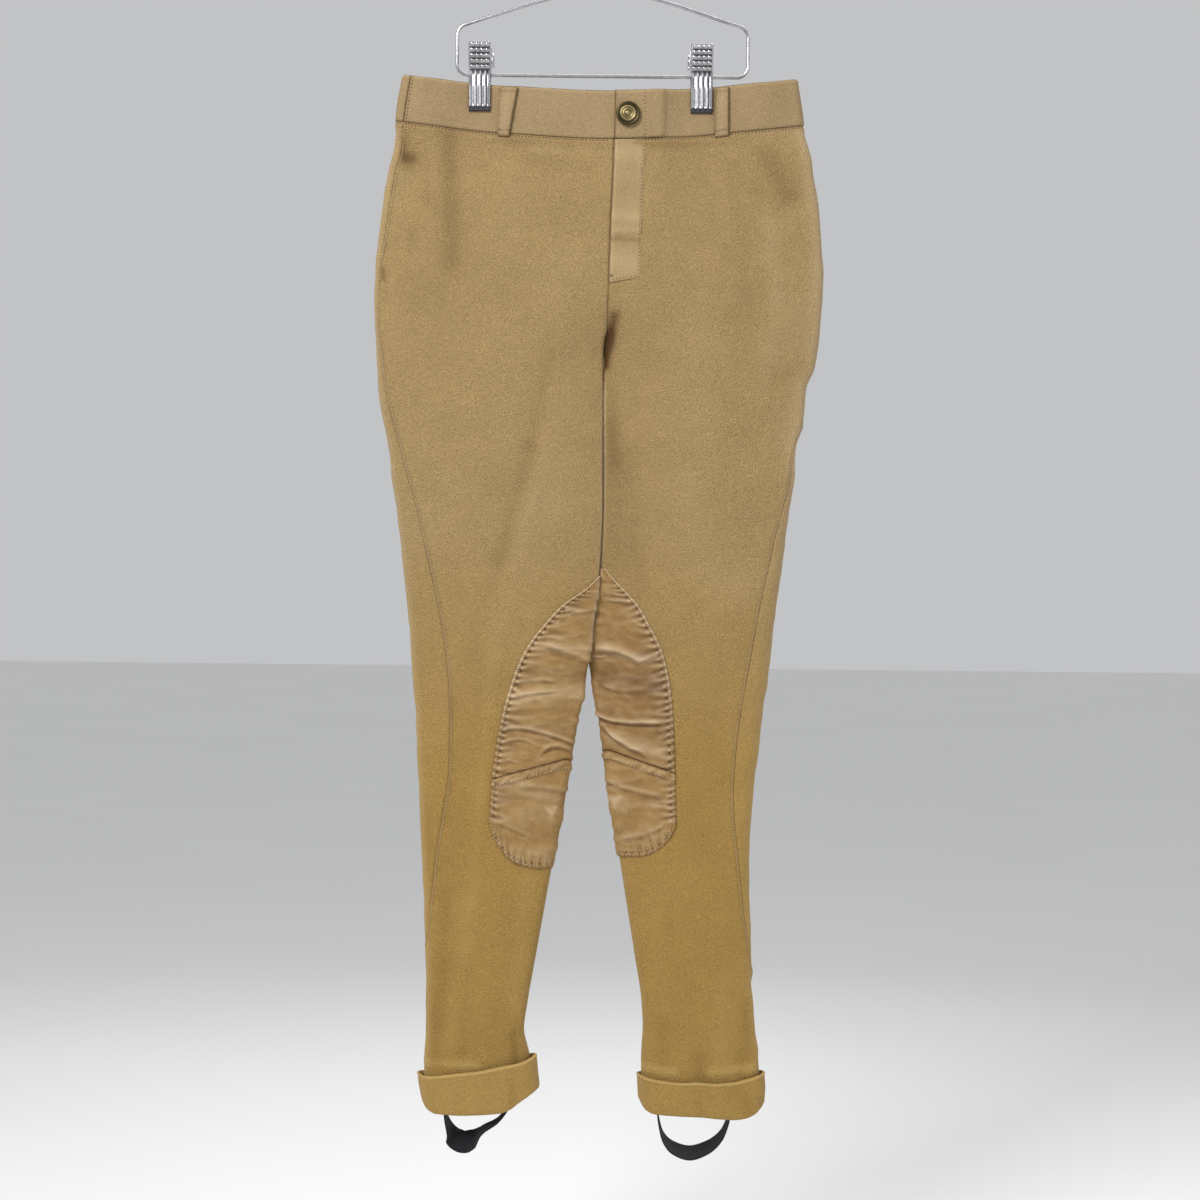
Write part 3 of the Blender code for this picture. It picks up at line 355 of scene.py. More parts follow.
# Creases on the fronts of the patches: three places (x, drop), width, height, darkening (painted shade below
# the ridge; a weaker painted highlight goes on the ridge)
FRONT_CREASES = {
    "right": (
        (-43, 488.1, -29.6, 493.1, -6.7, 501.1, 3.2, 1.2, 0.4),
        (-77.1, 559.4, -53.9, 560.8, -19.4, 572, 2, 0.9, 0.6),
        (-78.7, 571, -63.5, 569.2, -51.2, 573.9, 1.6, 0.5, 0.35),
        (-47, 581.9, -37.4, 574.6, -21.9, 577.8, 2.2, 1, 0.5),
        (-78.6, 585.7, -71.7, 587.3, -64.8, 589, 1.5, 0.4, 0.35),
        (-66.3, 608.8, -41.8, 610, -21.9, 613.1, 2.4, 0.7, 0.3),
        (-79.3, 641.6, -66.1, 646.6, -52.9, 652.9, 1.8, 0.5, 0.3),
        (-23.1, 460.4, -11.9, 459.4, -0.8, 458.2, 2.2, 0.6, 0.2),
        (-75.8, 521.6, -54.3, 518, -34.5, 519.4, 2, 0.6, 0.3),
        (-74, 533.2, -54.2, 529.5, -34.4, 527.6, 1.8, 0.5, 0.25),
    ),
    "left": (
        (-0.8, 492.8, 17.2, 492.6, 37.1, 501, 3.5, 1.3, 0.35),
        (-3.8, 498, 3.1, 498.8, 9.1, 497.4, 1.2, 0.5, 0.6),
        (37.1, 503.6, 43.5, 498.9, 54.7, 496.5, 1.5, 0.5, 0.5),
        (1, 543.5, 13.1, 552.5, 55.3, 553.7, 2, 1.2, 0.9),
        (6.3, 557.3, 22.8, 570.8, 42.6, 580.1, 2.6, 1.1, 0.5),
        (10.2, 605.4, 30, 603.9, 40.3, 599.9, 2, 0.6, 0.25),
        (11.9, 605.4, 35.2, 612, 55.9, 616.1, 2.2, 0.8, 0.55),
        (23.6, 652.5, 39.1, 650.7, 59.6, 641, 2.2, 0.7, 0.4),
        (6, 449, 22, 450, 38, 455, 2.2, 0.5, 0.25),
        (4, 521, 24, 527, 52, 524, 2, 0.5, 0.2),
    ),
}
# Creases on the backs of the patches, the same columns
BACK_CREASES = {
    "right": (
        (-44, 476, -26, 481, -6, 475, 2.8, 0.9, 0.3),
        (-70, 516, -44, 508, -14, 514, 2.4, 1, 0.45),
        (-80, 543, -50, 552, -20, 548, 2.2, 1, 0.6),
        (-74, 574, -48, 568, -26, 575, 2.4, 0.8, 0.4),
        (-78, 615, -54, 621, -30, 616, 2.2, 0.7, 0.35),
        (-76, 643, -56, 650, -38, 646, 2, 0.5, 0.3),
    ),
    "left": (
        (2, 470, 20, 474, 44, 470, 2.8, 0.9, 0.3),
        (0, 512, 18, 506, 48, 510, 2.4, 1, 0.45),
        (4, 546, 26, 553, 60, 549, 2.2, 1, 0.6),
        (12, 571, 30, 566, 56, 574, 2.4, 0.8, 0.4),
        (16, 620, 38, 614, 60, 621, 2.2, 0.7, 0.35),
        (22, 646, 40, 650, 58, 643, 2, 0.5, 0.3),
    ),
}
# Rubbed spots on the patches: x, drop, half the width, half the height
RUBBED = {
    "right": (
        (-37.7, 630, 5.2, 5.2),
    ),
    "left": (
        (18.1, 620.8, 7.5, 5.6),
    ),
}
# Painted soft highlights on the patches, which also raise the cloth: first x and drop, last x and drop,
# width, strength (negative is a painted shade, pressed in)
PATCH_LIGHTS = {
    "right": (
        (-24, 459.5, -3, 463.5, 3.6, 0.12),
        (-50, 490, -10, 491.5, 4, 0.22),
        (-76, 509, -12, 512, 5.5, -0.27),
        (-70, 533, -14, 528, 6, 0.24),
        (-78, 560, -28, 562, 6.5, -0.26),
        (-78, 619, -44, 617, 5, -0.16),
        (-76, 608, -35, 620, 6, 0.12),
    ),
    "left": (
        (8, 491, 38, 500, 4.5, 0.26),
        (6, 515, 52, 521, 8, -0.34),
        (16, 567, 55, 579, 4.8, 0.24),
        (14, 622, 54, 619, 5, -0.18),
        (24, 648, 50, 651, 5, -0.14),
    ),
}
PUCKER_FIRST = 16.0
PUCKER_STEP = 5.8
LOWER_START = 13.0
STITCH_IN = 3.7
CROSS_STITCH = 7.7
# Length of a patch's stitches and the gap after each
PATCH_STITCH = (2.4, 1.0)
# Turn-ups: share of the way from the outer to the inner fold, rim drop, bottom drop
CUFF_RIGHT = (
    (0, 856.5, 881),
    (0.05, 857.2, 887),
    (0.12, 857, 890),
    (0.3, 855, 890.6),
    (0.5, 852, 889.8),
    (0.68, 848.8, 888.4),
    (0.77, 846.8, 884.9),
    (0.83, 845.2, 880.4),
    (0.92, 842.5, 874.4),
    (1, 840, 869),
)
CUFF_LEFT = (
    (0, 853.4, 880),
    (0.04, 854.8, 885),
    (0.09, 856.5, 889.5),
    (0.16, 858.5, 892.2),
    (0.24, 860.4, 893),
    (0.38, 861.2, 892),
    (0.52, 860.8, 890.6),
    (0.7, 860.8, 890.2),
    (0.88, 858.5, 889.4),
    (0.95, 857, 886.8),
    (1, 855.6, 879),
)
# leg: outer and inner fold at the rim, outer and inner fold at the bottom
CUFF_SPANS = {"right": (-150.4, -47.7, -146.5, -44.2), "left": (148.6, 38.0, 149.6, 40.0)}
CUFF_HALF_RIM = 21.0
CUFF_HALF_BOTTOM = 20.0
CUFF_FOLD = 12.0
# Foot straps: x, y, drop, turn of the width from front-to-back towards upright, degrees
STRAP_ROUTES = {
    "left": (
        (57, 0, 862, 0),
        (56.5, 0, 884, 0),
        (60, 6, 908, 14),
        (68.5, 12, 922, 24),
        (85, 15, 928.5, 28),
        (102, 12, 922, 24),
        (114, 7, 908, 14),
        (119, 0, 888, 0),
        (121, 0, 862, 0),
    ),
    "right": (
        (-66, 0, 858, 0),
        (-70, 0, 882, 0),
        (-80, -1, 897, 3),
        (-94, -1, 906, 12),
        (-102, 2, 914.5, 55),
        (-110, 6, 918, 80),
        (-119, 6, 912.5, 64),
        (-125.5, 1, 893, 16),
        (-128, 0, 862, 0),
    ),
}
# Belt loops: leg, x at the top and bottom, width at the top and bottom, on the back
BELT_LOOPS = {
    "belt_loop_right": ("right", -79.2, -83.7, 15.0, 10.0, False),
    "belt_loop_left": ("left", 103.3, 103.0, 11.3, 12.6, False),
    "belt_loop_back": ("left", 17.0, 17.0, 13.0, 12.0, True),
}
STRAP_SEWN_TO = 866.0
STRAP_FREE_FROM = 890.0
LOOP_BOW = 1.9
# Waves down the placket: drop at its left edge, slope across it, width, height
PLACKET_WAVES = (
    (122, 0.05, 4.2, 0.8),
    (130, 0, 2.8, -0.4),
    (142, -0.06, 2.8, -1.1),
    (135.5, 0, 3.4, 0.7),
    (70, 0, 8, 0.6),
    (84, 0, 5, -0.5),
    (160, 0, 9, 0.3),
)
# Painted shades down the placket: drop, width, darkening (negative is a painted highlight)
PLACKET_SHADES = (
    (131, 2.6, 0.06),
    (142.5, 2.2, 0.3),
    (97, 12, 0.1),
    (146, 6, 0.08),
    (58, 3, 0.05),
    (123.5, 4.6, -0.17),
    (135.5, 3.2, -0.05),
    (67, 7, -0.12),
    (163, 7, -0.13),
)

# Button profile: radius, height above its back
BUTTON_PROFILE = (
    (0, 2.55),
    (1.1, 2.6),
    (1.9, 2.45),
    (2.3, 1.95),
    (2.9, 1.9),
    (3.3, 2.35),
    (4, 2.55),
    (4.5, 2.3),
    (4.8, 2.15),
    (5.2, 2.5),
    (6.3, 2.62),
    (6.9, 2.3),
    (7.3, 1.75),
    (7.9, 1.7),
    (8.4, 2.2),
    (9.1, 2.45),
    (9.8, 2.2),
    (10.2, 1.6),
    (10.25, 1),
    (9.9, 0.35),
    (9.4, 0),
    (0, 0),
)


# Studio lights, in metres: place, length of a side
LIGHTS = {
    "key_light": ((-0.95, -1.6, 0.75), 0.8),
    "fill_light": ((1.9, -1.6, -0.3), 1.8),
    "rim_light": ((0.3, 1.4, 0.9), 1.4),
}
LIT_MIDDLE = (0.0, 0.0, -0.62)
CAMERA_PLACE = (0.0026, -2.0, -0.615)


def ease(share):
    """A soft step from 0 to 1."""
    share = np.clip(share, 0.0, 1.0)
    return share * share * (3.0 - 2.0 * share)


def smooth_column(rows, column):
    """A smooth curve through one column of a table, with no overshoot between its rows."""
    places, values = np.array(rows, float)[:, [0, column]].T
    steps = np.diff(places)
    slopes = np.diff(values) / steps
    before, after = slopes[:-1], slopes[1:]
    total = np.where(before + after == 0, 1.0, before + after)
    middle = np.where(before * after > 0, 2.0 * before * after / total, 0.0)
    tangents = np.concatenate(([slopes[0]], middle, [slopes[-1]]))

    def read(at):
        at = np.clip(at, places[0], places[-1])
        cell = np.clip(np.searchsorted(places, at) - 1, 0, len(steps) - 1)
        share = (at - places[cell]) / steps[cell]
        square, cube = share ** 2, share ** 3
        return ((2 * cube - 3 * square + 1) * values[cell] + (3 * square - 2 * cube) * values[cell + 1]
                + steps[cell] * ((cube - 2 * square + share) * tangents[cell]
                                 + (cube - square) * tangents[cell + 1]))

    return read


HALF_DEPTH = smooth_column(DEPTHS, 1)
FOLD_RADIUS = smooth_column(DEPTHS, 2)
FLAT = smooth_column(FLATNESS, 1)
SHIFT = smooth_column(FOLD_SHIFT, 1)


class Leg:
    """Smooth curves of one leg's outline, and the way its folds and patches lie."""

    def __init__(self, side, rows, patch_edge, cuff_rows):
        self.side = side
        self.outer, self.inner, self.inset = (smooth_column(rows, column) for column in (1, 2, 3))
        self.patch_rows, self.patch_edge = patch_edge, smooth_column(patch_edge, 1)
        self.cuff_rim, self.cuff_bottom = (smooth_column(cuff_rows, column) for column in (1, 2))
        self.sign = -1.0 if side == "right" else 1.0
        self.forward = 2.0 * self.sign


LEGS = {
    "right": Leg("right", RIGHT_LEG, PATCH_EDGE_RIGHT, CUFF_RIGHT),
    "left": Leg("left", LEFT_LEG, PATCH_EDGE_LEFT, CUFF_LEFT),
}


def left_inner(drop):
    """The left leg's inner fold, which meets the right one's above the crotch and lies behind it below."""
    apart = ease((drop - CROTCH_DROP) / 20.0)
    meet = LEGS["right"].inner(drop) - 0.5 * ease((drop - 176.0) / 12.0) * (1.0 - apart)
    return meet + (LEFT_OWN_INNER(drop) - meet) * apart


LEFT_OWN_INNER = LEGS["left"].inner
LEGS["left"].inner = left_inner


def from_segment(x, drop, x0, drop0, x1, drop1):
    """The distance from a straight line between two places."""
    run_x, run_drop = x1 - x0, drop1 - drop0
    along = ((x - x0) * run_x + (drop - drop0) * run_drop) / (run_x ** 2 + run_drop ** 2)
    along = np.clip(along, 0.0, 1.0)
    return np.hypot(x - x0 - along * run_x, drop - drop0 - along * run_drop)


def fold_depth(leg, x, drop, back):
    """How far the large folds press the cloth in at a point."""
    total = np.zeros_like(x)
    for face in ("front", "back"):
        for *line, width, depth in FOLDS[f"{face}_{leg.side}"]:
            press = depth * bump(from_segment(x, drop, *line), width)
            total += np.where(back == (face == "back"), press, 0.0)
    return total


def pinch(x, drop):
    """How firmly the clips press the waist together, from 0 to 1."""
    total = np.zeros_like(x)
    for centre in CLIP_CENTRES.values():
        away = np.maximum(np.abs(x - centre) - CLIP_WIDTH * 0.62, 0.0)
        total = np.maximum(total, np.exp(-(away / 17.0) ** 2))
    return total * (1.0 - ease((drop - PINCH_END) / 95.0))


def ring(leg, drop, angle):
    """Points round a leg at a drop: the inner fold at 0, the outer at pi, the back up to two pi."""
    drop, angle = np.broadcast_arrays(np.asarray(drop, float), np.asarray(angle, float))
    outer, inner = leg.outer(drop), leg.inner(drop)
    half, radius, flat = HALF_DEPTH(drop), FOLD_RADIUS(drop), FLAT(drop)
    across = (1.0 - np.cos(angle)) / 2.0
    x = inner + (outer - inner) * across
    from_inner, from_outer = np.abs(x - inner), np.abs(outer - x)
    near = radius + (INNER_FOLD - radius) * flat * (1.0 - ease(2.0 * across))
    round_in = np.sqrt(1.0 - (1.0 - np.minimum(from_inner / near, 1.0)) ** 2)
    round_out = np.sqrt(1.0 - (1.0 - np.minimum(from_outer / radius, 1.0)) ** 2)
    slack = 0.5 * flat * (1.0 - ease(2.0 * across)) if leg.side == "left" else 0.0
    closed = np.minimum(near * round_in, radius * round_out)
    closed = closed + (half - near) * np.sin(math.pi * across) ** (BODY_FULLNESS + slack)
    whole = abs(LEGS["left"].outer(drop) - LEGS["right"].outer(drop))
    swell = np.sin(math.pi * np.clip(from_outer / whole, 0.0, 1.0)) ** BODY_FULLNESS
    opened = radius * round_out + (half - radius) * swell
    joined = 1.0 - ease((drop - (CROTCH_DROP - VALLEY_HEIGHT)) / VALLEY_HEIGHT)
    depth = joined * opened + (1.0 - joined) * closed
    squeezed = np.minimum(depth, PINCHED_HALF)
    depth = depth + (squeezed - depth) * pinch(x, drop)
    back = angle > math.pi
    steady = np.minimum(1.0, from_outer / 15.0) * np.maximum(joined, np.minimum(1.0, from_inner / 15.0))
    depth = depth - fold_depth(leg, x, drop, back) * steady
    middle = leg.forward * ease((drop - CROTCH_DROP + 40.0) / 90.0)
    middle = middle + leg.sign * SHIFT(drop) * np.exp(-(from_inner / 30.0) ** 2)
    return np.stack((x, middle + np.where(back, depth, -depth)), axis=-1)


def outward(leg, drop, angle, low=0.0, high=2.0 * math.pi):
    """Unit normals of the ring, pointing out of the leg."""
    step = 0.004
    along = ring(leg, drop, np.minimum(angle + step, high)) - ring(leg, drop, np.maximum(angle - step, low))
    normal = np.stack((along[..., 1], -along[..., 0]), axis=-1)
    if leg.side == "right":
        normal = -normal
    return normal / np.linalg.norm(normal, axis=-1, keepdims=True)


def to_scene(x, y, drop):
    """Scene points, in metres, from millimetres."""
    return np.stack(np.broadcast_arrays(x, y, -(BAR_DROP + drop)), axis=-1) * MM


def skin(leg, drop, angle, lift, low=0.0, high=2.0 * math.pi):
    """Scene points on a leg at a drop and angle, moved out by a lift."""
    place = ring(leg, drop, angle) + outward(leg, drop, angle, low, high) * np.asarray(lift)[..., None]
    return to_scene(place[..., 0], place[..., 1], np.broadcast_to(drop, place.shape[:-1]))


def angle_at(leg, drop, x, back=False):
    """The ring angle where a leg has a given x."""
    outer, inner = leg.outer(drop), leg.inner(drop)
    angle = np.arccos(1.0 - 2.0 * np.clip((x - inner) / (outer - inner), 0.0, 1.0))
    return 2.0 * math.pi - angle if back else angle


def seam_angle(leg, drop):
    """The ring angle of the side seam."""
    inset = leg.inset(drop)
    share = np.minimum(np.abs(inset) / np.abs(leg.outer(drop) - leg.inner(drop)), 1.0)
    return math.pi - np.copysign(np.arccos(1.0 - 2.0 * share), inset)


def dip(x):
    """The share of the waist's dip at an x: 1 at the middle and 0 at the sides."""
    return 1.0 - np.minimum(np.abs(x) / WAIST_HALF, 1.0) ** DIP_POWER


def band_top(x):
    return BAND_TOP_DROP + BAND_TOP_DIP * dip(x)


def waist_seam(x):
    return SEAM_DROP + SEAM_DIP * dip(x)


def on_line(leg, angle, line):
    """The drops at which ring angles cross a line given as a drop for each x."""
    drop = np.full(np.shape(angle), 45.0)
    for _ in range(4):
        drop = line(ring(leg, drop, angle)[..., 0])
    return drop


def hem_line(leg, angle):
    """The drop of the leg's hem, which stands on the lip of the turn-up."""
    return leg.cuff_bottom((1.0 + np.cos(angle)) / 2.0) - CUFF_CLOTH - 1.5


def bump(away, width):
    """A soft hump, 1 at the middle."""
    return np.exp(-(np.asarray(away) / width) ** 2)


def waves(x, drop, seed, size, stretch=1.0, count=16):
    """A smooth uneven field of about unit height; stretch above 1 draws it out along x."""
    chance = np.random.default_rng(seed)
    total = np.zeros(np.broadcast(x, drop).shape)
    for _ in range(count):
        turn = chance.uniform(0.0, 2.0 * math.pi)
        length = size * chance.uniform(0.7, 1.5)
        phase = chance.uniform(0.0, 2.0 * math.pi)
        total += np.cos(2.0 * math.pi * (x * math.cos(turn) / stretch + drop * math.sin(turn)) / length
                        + phase)
    return total / math.sqrt(count / 2.0)


GRIDS = {}


def shell_faces(rows, outer_columns, inner_columns, closed):
    """Faces of a closed shell whose inner skin may have fewer columns than its outer one."""
    front = np.arange(rows * outer_columns).reshape(rows, outer_columns)
    kept = np.asarray(inner_columns)
    rear = rows * outer_columns + np.arange(rows * len(kept)).reshape(rows, len(kept))
    faces = []
    for grid, way in ((front, 1), (rear, -1)):
        ahead = np.roll(grid, -1, axis=1) if closed else grid[:, 1:]
        start = grid if closed else grid[:, :-1]
        quads = np.stack((start[:-1], start[1:], ahead[1:], ahead[:-1]), axis=-1).reshape(-1, 4)
        faces += quads[:, ::way].tolist()
    last = len(kept) if closed else len(kept) - 1
    for row, way in ((0, 1), (rows - 1, -1)):
        for k in range(last):
            a, b = kept[k], kept[(k + 1) % len(kept)]
            stretch = list(range(a, b + 1)) if b > a else list(range(a, outer_columns)) + [0]
            face = [int(front[row, c]) for c in stretch]
            face += [int(rear[row, (k + 1) % len(kept)]), int(rear[row, k])]
            faces.append(face[::way])
    for column, way in () if closed else ((0, 1), (-1, -1)):
        for r in range(rows - 1):
            ends = ((front, r), (rear, r), (rear, r + 1), (front, r + 1))
            faces.append([int(grid[row, column]) for grid, row in ends][::way])
    return faces


def place_object(name, data, material, nodes=()):
    """Link a new piece, give it its finish and tie it to the frame."""
    obj = link(name, data)
    data.materials.append(material)
    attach(obj, "root")
    if nodes:
        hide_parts(*nodes)
    return obj


def mesh_from(name, points, faces, marks=None, sharp=50.0):
    """A smooth mesh with named values at its points, turned so that its faces look out."""
    points = np.asarray(points, float).reshape(-1, 3)
    first = np.array([face[:3] for face in faces])
    a, b, c = (points[first[:, i]] for i in range(3))
    if np.einsum("ij,ij->i", a, np.cross(b, c)).sum() < 0.0:
        faces = [face[::-1] for face in faces]
    mesh = bpy.data.meshes.new(name)
    mesh.from_pydata(points.tolist(), [], faces)
    for label, values in (marks or {}).items():
        layer = mesh.attributes.new(label, "FLOAT", "POINT")
        layer.data.foreach_set("value", np.asarray(values, np.float32).ravel())
    mesh.validate()
    mesh.shade_smooth()
    mesh.set_sharp_from_angle(angle=math.radians(sharp))
    return mesh


def shell(node, kind, skins, finish_name, marks=None, every=1, closed=False, keep=()):
    """A closed shell between two grids of points, which stands for one node of the frame."""
    outer, inner = skins
    rows, columns = outer.shape[:2]
    kept = [c for c in range(columns) if c % every == 0 or (c == columns - 1 and not closed) or c in keep]
    points = np.concatenate((outer.reshape(-1, 3), inner[:, kept].reshape(-1, 3)))
    spread_marks = {}
    for label, values in (marks or {}).items():
        values = np.broadcast_to(values, (rows, columns))
        spread_marks[label] = np.concatenate((values.ravel(), values[:, kept].ravel()))
    name = f"{node}_{kind}"
    GRIDS[name] = skins
    mesh = mesh_from(name, points, shell_faces(rows, columns, kept, closed), spread_marks)
    return place_object(name, mesh, finish(finish_name), (node,))


def shades(dark, light, most=0.9):
    return {"dark": np.clip(dark, 0.0, most), "light": light}


def push(skins, forward):
    """Move skins towards the front by millimetres."""
    for points in skins:
        points[..., 1] -= forward * MM


def cloth(obj, width, length, held, rests_on, area=None):
    """Take a sheet of cloth's cut, given in millimetres and square metres, and do nothing with it."""


def grid_area(points):
    """The area of a grid of scene points, in square metres."""
    a, b = points[1:, 1:] - points[:-1, :-1], points[1:, :-1] - points[:-1, 1:]
    return float(np.linalg.norm(np.cross(a, b), axis=-1).sum() / 2.0)


def step(tree, kind, inputs=None, **settings):
    """Add a node with its settings; an input is a value or another node's output."""
    node = tree.nodes.new(kind)
    for label, value in settings.items():
        setattr(node, label, value)
    for socket, value in (inputs or {}).items():
        if isinstance(value, bpy.types.NodeSocket):
            tree.links.new(value, node.inputs[socket])
        else:
            node.inputs[socket].default_value = value
    return node


def math_step(tree, operation, *values):
    return step(tree, "ShaderNodeMath", dict(enumerate(values)), operation=operation).outputs[0]


def scaled(tree, colour, tone):
    """A colour made lighter or darker by a tone."""
    inputs = {0: colour, "Scale": tone}
    return step(tree, "ShaderNodeVectorMath", inputs, operation="SCALE").outputs[0]


def start_finish(name, **values):
    """A new material with fixed values in its shader, its node tree and its object coordinates."""
    material = bpy.data.materials.new(name)
    material.use_nodes = True
    tree = material.node_tree
    for socket, value in values.items():
        tree.nodes["Principled BSDF"].inputs[socket.replace("_", " ")].default_value = value
    return material, tree, step(tree, "ShaderNodeTexCoord").outputs["Object"]


def plug(tree, **outputs):
    """Lead outputs to the shader's sockets."""
    for socket, output in outputs.items():
        tree.links.new(output, tree.nodes["Principled BSDF"].inputs[socket.replace("_", " ")])


def lumps(tree, strength, distance, height):
    inputs = {"Strength": strength, "Distance": distance, "Height": height}
    return step(tree, "ShaderNodeBump", inputs).outputs[0]


def blend_colours(tree, factor, first, second):
    """The output of a colour mix."""
    return step(tree, "ShaderNodeMix", {0: factor, 6: first, 7: second}, data_type="RGBA").outputs[2]


def noise(tree, coords, scale, detail=2.0, roughness=0.55, stretch=(1.0, 1.0, 1.0)):
    """The factor of a noise texture in object space; scale is cells to the metre."""
    mapped = step(tree, "ShaderNodeMapping", {"Vector": coords, "Scale": stretch})
    inputs = {"Vector": mapped.outputs[0], "Scale": scale, "Detail": detail, "Roughness": roughness}
    return step(tree, "ShaderNodeTexNoise", inputs).outputs["Fac"]


def spread_range(tree, value, low, high, to_low=0.0, to_high=1.0):
    """A value moved from one range to another, held at its ends."""
    inputs = {"Value": value, "From Min": low, "From Max": high, "To Min": to_low, "To Max": to_high}
    return step(tree, "ShaderNodeMapRange", inputs).outputs[0]


def marked(tree, colour, dark, light):
    """A colour blended to a dark and then a light one by the marks at the piece's points: mostly painted
    shade and painted light, besides dark seam lines, worn spots and the brass's patina and wear.
    """
    for label, other in (("dark", dark), ("light", light)):
        factor = step(tree, "ShaderNodeAttribute", attribute_name=label).outputs["Fac"]
        colour = blend_colours(tree, factor, colour, other)
    return colour


def knit_cloth(name, upper, lower, nap):
    """Brushed stretch knit: fine pebbled grain, slight mottling, more golden towards the hems."""
    material, tree, coords = start_finish(name, Roughness=0.92, Specular_IOR_Level=0.08, Sheen_Weight=0.26,
                                          Sheen_Roughness=0.3, Sheen_Tint=(1.0, 0.88, 0.66, 1.0))
    grain = noise(tree, coords, 900.0, 1.4, 0.6, (1.0, 1.0, 0.85))
    fuzz = noise(tree, coords, 1700.0, 1.0)
    mottle = noise(tree, coords, 34.0, 3.0)
    height = step(tree, "ShaderNodeSeparateXYZ", {0: coords}).outputs[2]
    low_down = spread_range(tree, height, -0.56, -0.77)
    base = blend_colours(tree, low_down, upper, lower)
    calm = spread_range(tree, height, -0.55, -0.85, nap, 0.8 * nap)
    pits = math_step(tree, "MULTIPLY_ADD", spread_range(tree, grain, 0.30, 0.70, -0.21, 0.25), calm, 1.0)
    tone = math_step(tree, "MULTIPLY", pits, spread_range(tree, mottle, 0.3, 0.7, 0.965, 1.035))
    # The light marks blend to this pale tint, a painted light on rims, lips and folds; the dark marks blend
    # to the brown below, painted shade in folds, hollows, at edges and under the band, besides dark seam
    # lines.
    painted_light_tint = blend_colours(tree, low_down, (0.66, 0.50, 0.30, 1.0), (0.68, 0.46, 0.18, 1.0))
    relief = math_step(tree, "MULTIPLY_ADD", fuzz, 0.35, grain)
    plug(tree, Base_Color=marked(tree, scaled(tree, base, tone), (0.085, 0.040, 0.014, 1.0), painted_light_tint),
         Normal=lumps(tree, 0.8 * nap, 0.0026, relief))
    return material


def patch_cloth(colour):
    """Smooth woven cotton, pinker than the knit, marked with painted highlights on its ridges, painted shade
    in its creases and furrows, and lighter worn spots.
    """
    material, tree, coords = start_finish("patch_cotton", Roughness=0.72, Specular_IOR_Level=0.2,
                                          Sheen_Weight=0.05, Sheen_Roughness=0.3,
                                          Sheen_Tint=(1.0, 0.92, 0.82, 1.0))
    streaks = noise(tree, coords, 90.0, 4.0, 0.65, (0.5, 0.5, 1.6))
    cloudy = noise(tree, coords, 30.0, 3.0)
    threads = noise(tree, coords, 1000.0, 1.5, 0.5, (1.0, 1.0, 0.6))
    tone = math_step(tree, "MULTIPLY", spread_range(tree, streaks, 0.25, 0.75, 0.95, 1.045),
                     spread_range(tree, cloudy, 0.3, 0.7, 0.975, 1.025))
    tone = math_step(tree, "MULTIPLY", tone, spread_range(tree, threads, 0.32, 0.68, 0.90, 1.10))
    base = scaled(tree, tuple(colour[:3]), tone)
    # The dark marks blend to a painted shade brown; the light marks blend to a pale tint for painted
    # highlights and for the worn spots.
    plug(tree, Base_Color=marked(tree, base, (0.110, 0.048, 0.020, 1.0), (0.72, 0.56, 0.37, 1.0)),
         Normal=lumps(tree, 0.6, 0.0014, threads))
    return material


def speckled(name, colour, cells, detail, low, high, relief=None, **values):
    """One colour, made lighter and darker by a fine noise, which may raise it too."""
    material, tree, coords = start_finish(name, **values)
    specks = noise(tree, coords, cells, detail)
    plug(tree, Base_Color=scaled(tree, tuple(colour[:3]), spread_range(tree, specks, 0.3, 0.7, low, high)))
    if relief:
        plug(tree, Normal=lumps(tree, *relief, specks))
    return material


def patina_and_shade_metal(name, colours, cells, patchy, roughness):
    """Metal with faint patches, marked dark in its grooves and light on its ridges: patina and wear on the
    brass, painted shade and painted dark reflection in the chrome's grooves.
    """
    clean, tarnished, groove, ridge = colours
    material, tree, coords = start_finish(name, Metallic=1.0)
    patches = noise(tree, coords, cells, 3.0)
    base = blend_colours(tree, spread_range(tree, patches, *patchy), clean, tarnished)
    plug(tree, Base_Color=marked(tree, base, groove, ridge),
         Roughness=spread_range(tree, patches, 0.3, 0.7, *roughness))
    return material


FINISHES = {}


